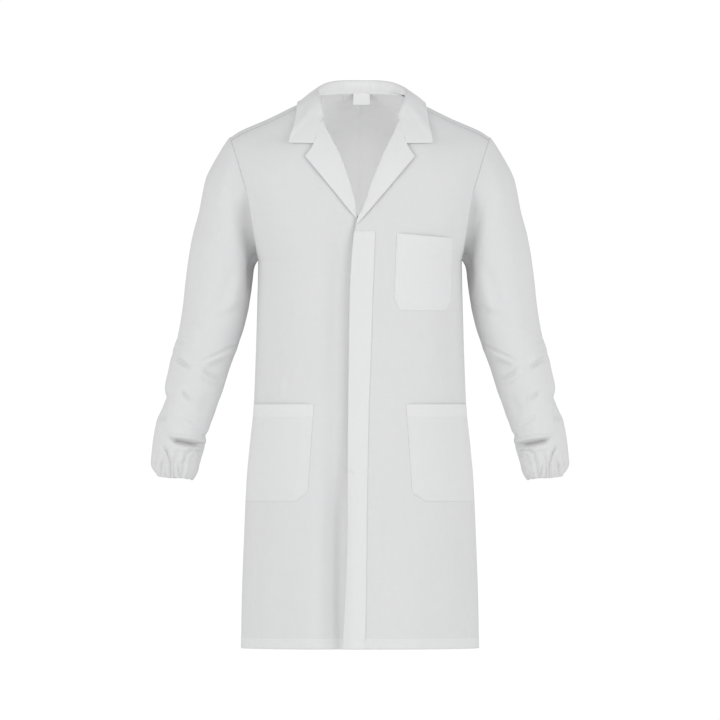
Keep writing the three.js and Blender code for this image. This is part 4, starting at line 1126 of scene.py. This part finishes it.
tz = np.linspace(-3.0, -12.0, 12)[None, :]
tx, tz = np.broadcast_arrays(tx, tz)
pt = part(np.stack([tx, back_y(tx, tz) - 0.75, tz], -1), (0, -1, 0), -0.25, 0.25, uv=np.stack([tx, tz], -1))
ob = make("neck_tape_strip", [pt], [M_TAPE], ["neck_tape"])
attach(ob, "torso")
declare(ob, pt)

# -------------------------------------------------------------------- buttons
for k, zb in enumerate(BUTTON_Z):
    lo_, hi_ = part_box(f"button_{k + 1}")
    cx, cz, yb, yf = (lo_.x + hi_.x) / 2 / MM, (lo_.z + hi_.z) / 2 / MM, hi_.y / MM, lo_.y / MM
    na, nr = 48, 26
    R, T = 9.0, 2.2
    rr = np.linspace(0, 1, nr)[None, :]
    aa = (np.arange(na) / na * 2 * math.pi)[:, None]
    prof = T - 0.75 * step(0.66, 0.56, rr) - 0.15 * (rr**2) + 0.25 * np.exp(-((rr - 0.78) / 0.1) ** 2)
    prof = np.where(rr > 0.93, prof * np.sqrt(np.clip(1 - ((rr - 0.93) / 0.07) ** 2, 0, 1)), prof)
    bx, bz = rr * R * np.cos(aa), rr * R * np.sin(aa)
    for hx, hz in ((1.7, 1.7), (-1.7, 1.7), (1.7, -1.7), (-1.7, -1.7)):
        prof = prof - 1.1 * np.exp(-(((bx - hx) ** 2 + (bz - hz) ** 2) / 0.55) ** 2)
    yy = yb - np.maximum(prof, 0.12)
    Gt = np.stack([bx + cx, yy, bz + cz], -1)
    Gb = np.stack([bx + cx, np.full_like(yy, yb), bz + cz], -1)
    V = np.concatenate([Gt.reshape(-1, 3), Gb.reshape(-1, 3)])
    nv = na * nr
    F = []
    for i in range(na):
        i2 = (i + 1) % na
        for j in range(nr - 1):
            F.append([i * nr + j, i2 * nr + j, i2 * nr + j + 1, i * nr + j + 1])
            F.append([nv + i * nr + j, nv + i * nr + j + 1, nv + i2 * nr + j + 1, nv + i2 * nr + j])
        F.append([i * nr + nr - 1, i2 * nr + nr - 1, nv + i2 * nr + nr - 1, nv + i * nr + nr - 1])
    for i in range(na):            # one centre point for each face
        pass
    idx = np.arange(len(V))
    idx[[i * nr for i in range(na)]] = 0
    idx[[nv + i * nr for i in range(na)]] = nv
    F = [[int(idx[q]) for q in f] for f in F]
    keep = np.unique(np.concatenate([np.array(f) for f in F]))
    rm = {int(o): n for n, o in enumerate(keep)}
    ob = make(f"button_{k + 1}_disc", [], [M_BUTTON], [f"button_{k + 1}"], loose=[(V[keep], [[rm[q] for q in f] for f in F])], sharp=40)
    blend_front(ob)

# ----------------------------------------------------- floor, lights, camera
me = bpy.data.meshes.new("floor")
me.from_pydata([(-1.7, -1.9, -1.30), (1.7, -1.9, -1.30), (1.7, 1.5, -1.30), (-1.7, 1.5, -1.30)], [], [(0, 1, 2, 3)])
floor = bpy.data.objects.new("floor", me)
bpy.context.scene.collection.objects.link(floor)
me.materials.append(plain_material("floor_white", (0.86, 0.86, 0.86), 0.8, 3.0, 0.01, 0.0, 0.2))

world = bpy.data.worlds.new("studio")
bpy.context.scene.world = world
world.use_nodes = True
wn = world.node_tree
wn.nodes.clear()
out = wn.nodes.new("ShaderNodeOutputWorld")
mixn = wn.nodes.new("ShaderNodeMixShader")
lp = wn.nodes.new("ShaderNodeLightPath")
amb, bgd = wn.nodes.new("ShaderNodeBackground"), wn.nodes.new("ShaderNodeBackground")
amb.inputs["Color"].default_value = (0.985, 0.99, 1.0, 1)
amb.inputs["Strength"].default_value = 0.60
bgd.inputs["Color"].default_value = (1, 1, 1, 1)
bgd.inputs["Strength"].default_value = 1.02
wn.links.new(lp.outputs["Is Camera Ray"], mixn.inputs[0])
wn.links.new(amb.outputs[0], mixn.inputs[1])
wn.links.new(bgd.outputs[0], mixn.inputs[2])
wn.links.new(mixn.outputs[0], out.inputs[0])


def area(name, loc, target, size, power):
    li = bpy.data.lights.new(name, "AREA")
    li.shape, li.size, li.size_y, li.energy = "RECTANGLE", size[0], size[1], power
    ob = bpy.data.objects.new(name, li)
    from mathutils import Vector
    ob.location = loc
    ob.rotation_mode = "QUATERNION"
    ob.rotation_quaternion = (Vector(target) - Vector(loc)).to_track_quat("-Z", "Y")
    bpy.context.scene.collection.objects.link(ob)
    return ob


area("side_a", (-3.4, -2.8, 0.25), (0, 0, -0.45), (2.0, 2.2), 69)
area("side_b", (3.4, -2.8, 0.25), (0, 0, -0.45), (2.0, 2.2), 69)
area("back_fill", (0.3, 4.0, 0.6), (0, 0, -0.5), (2.2, 2.0), 60)
for nm, loc, aim, pw in (("inside_low", (0, -0.03, -0.30), (0, 0.12, -0.12), 0.17), ("inside_high", (0, -0.035, -0.12), (0, 0.13, -0.15), 0.11)):
    inner = area(nm, loc, aim, (0.14, 0.14), pw)
    inner.visible_camera = False

cam = bpy.data.cameras.new("camera")
cam_ob = bpy.data.objects.new("camera", cam)
bpy.context.scene.collection.objects.link(cam_ob)
DIST = 24.0
cam.sensor_width = 36
cam.lens = 36 * DIST / 1.3536
cam.clip_end = 200
cam_ob.location = (0, -DIST, -0.502)
cam_ob.rotation_euler = (math.pi / 2, 0, 0)
bpy.context.scene.camera = cam_ob
bpy.context.scene.view_settings.view_transform = "Standard"
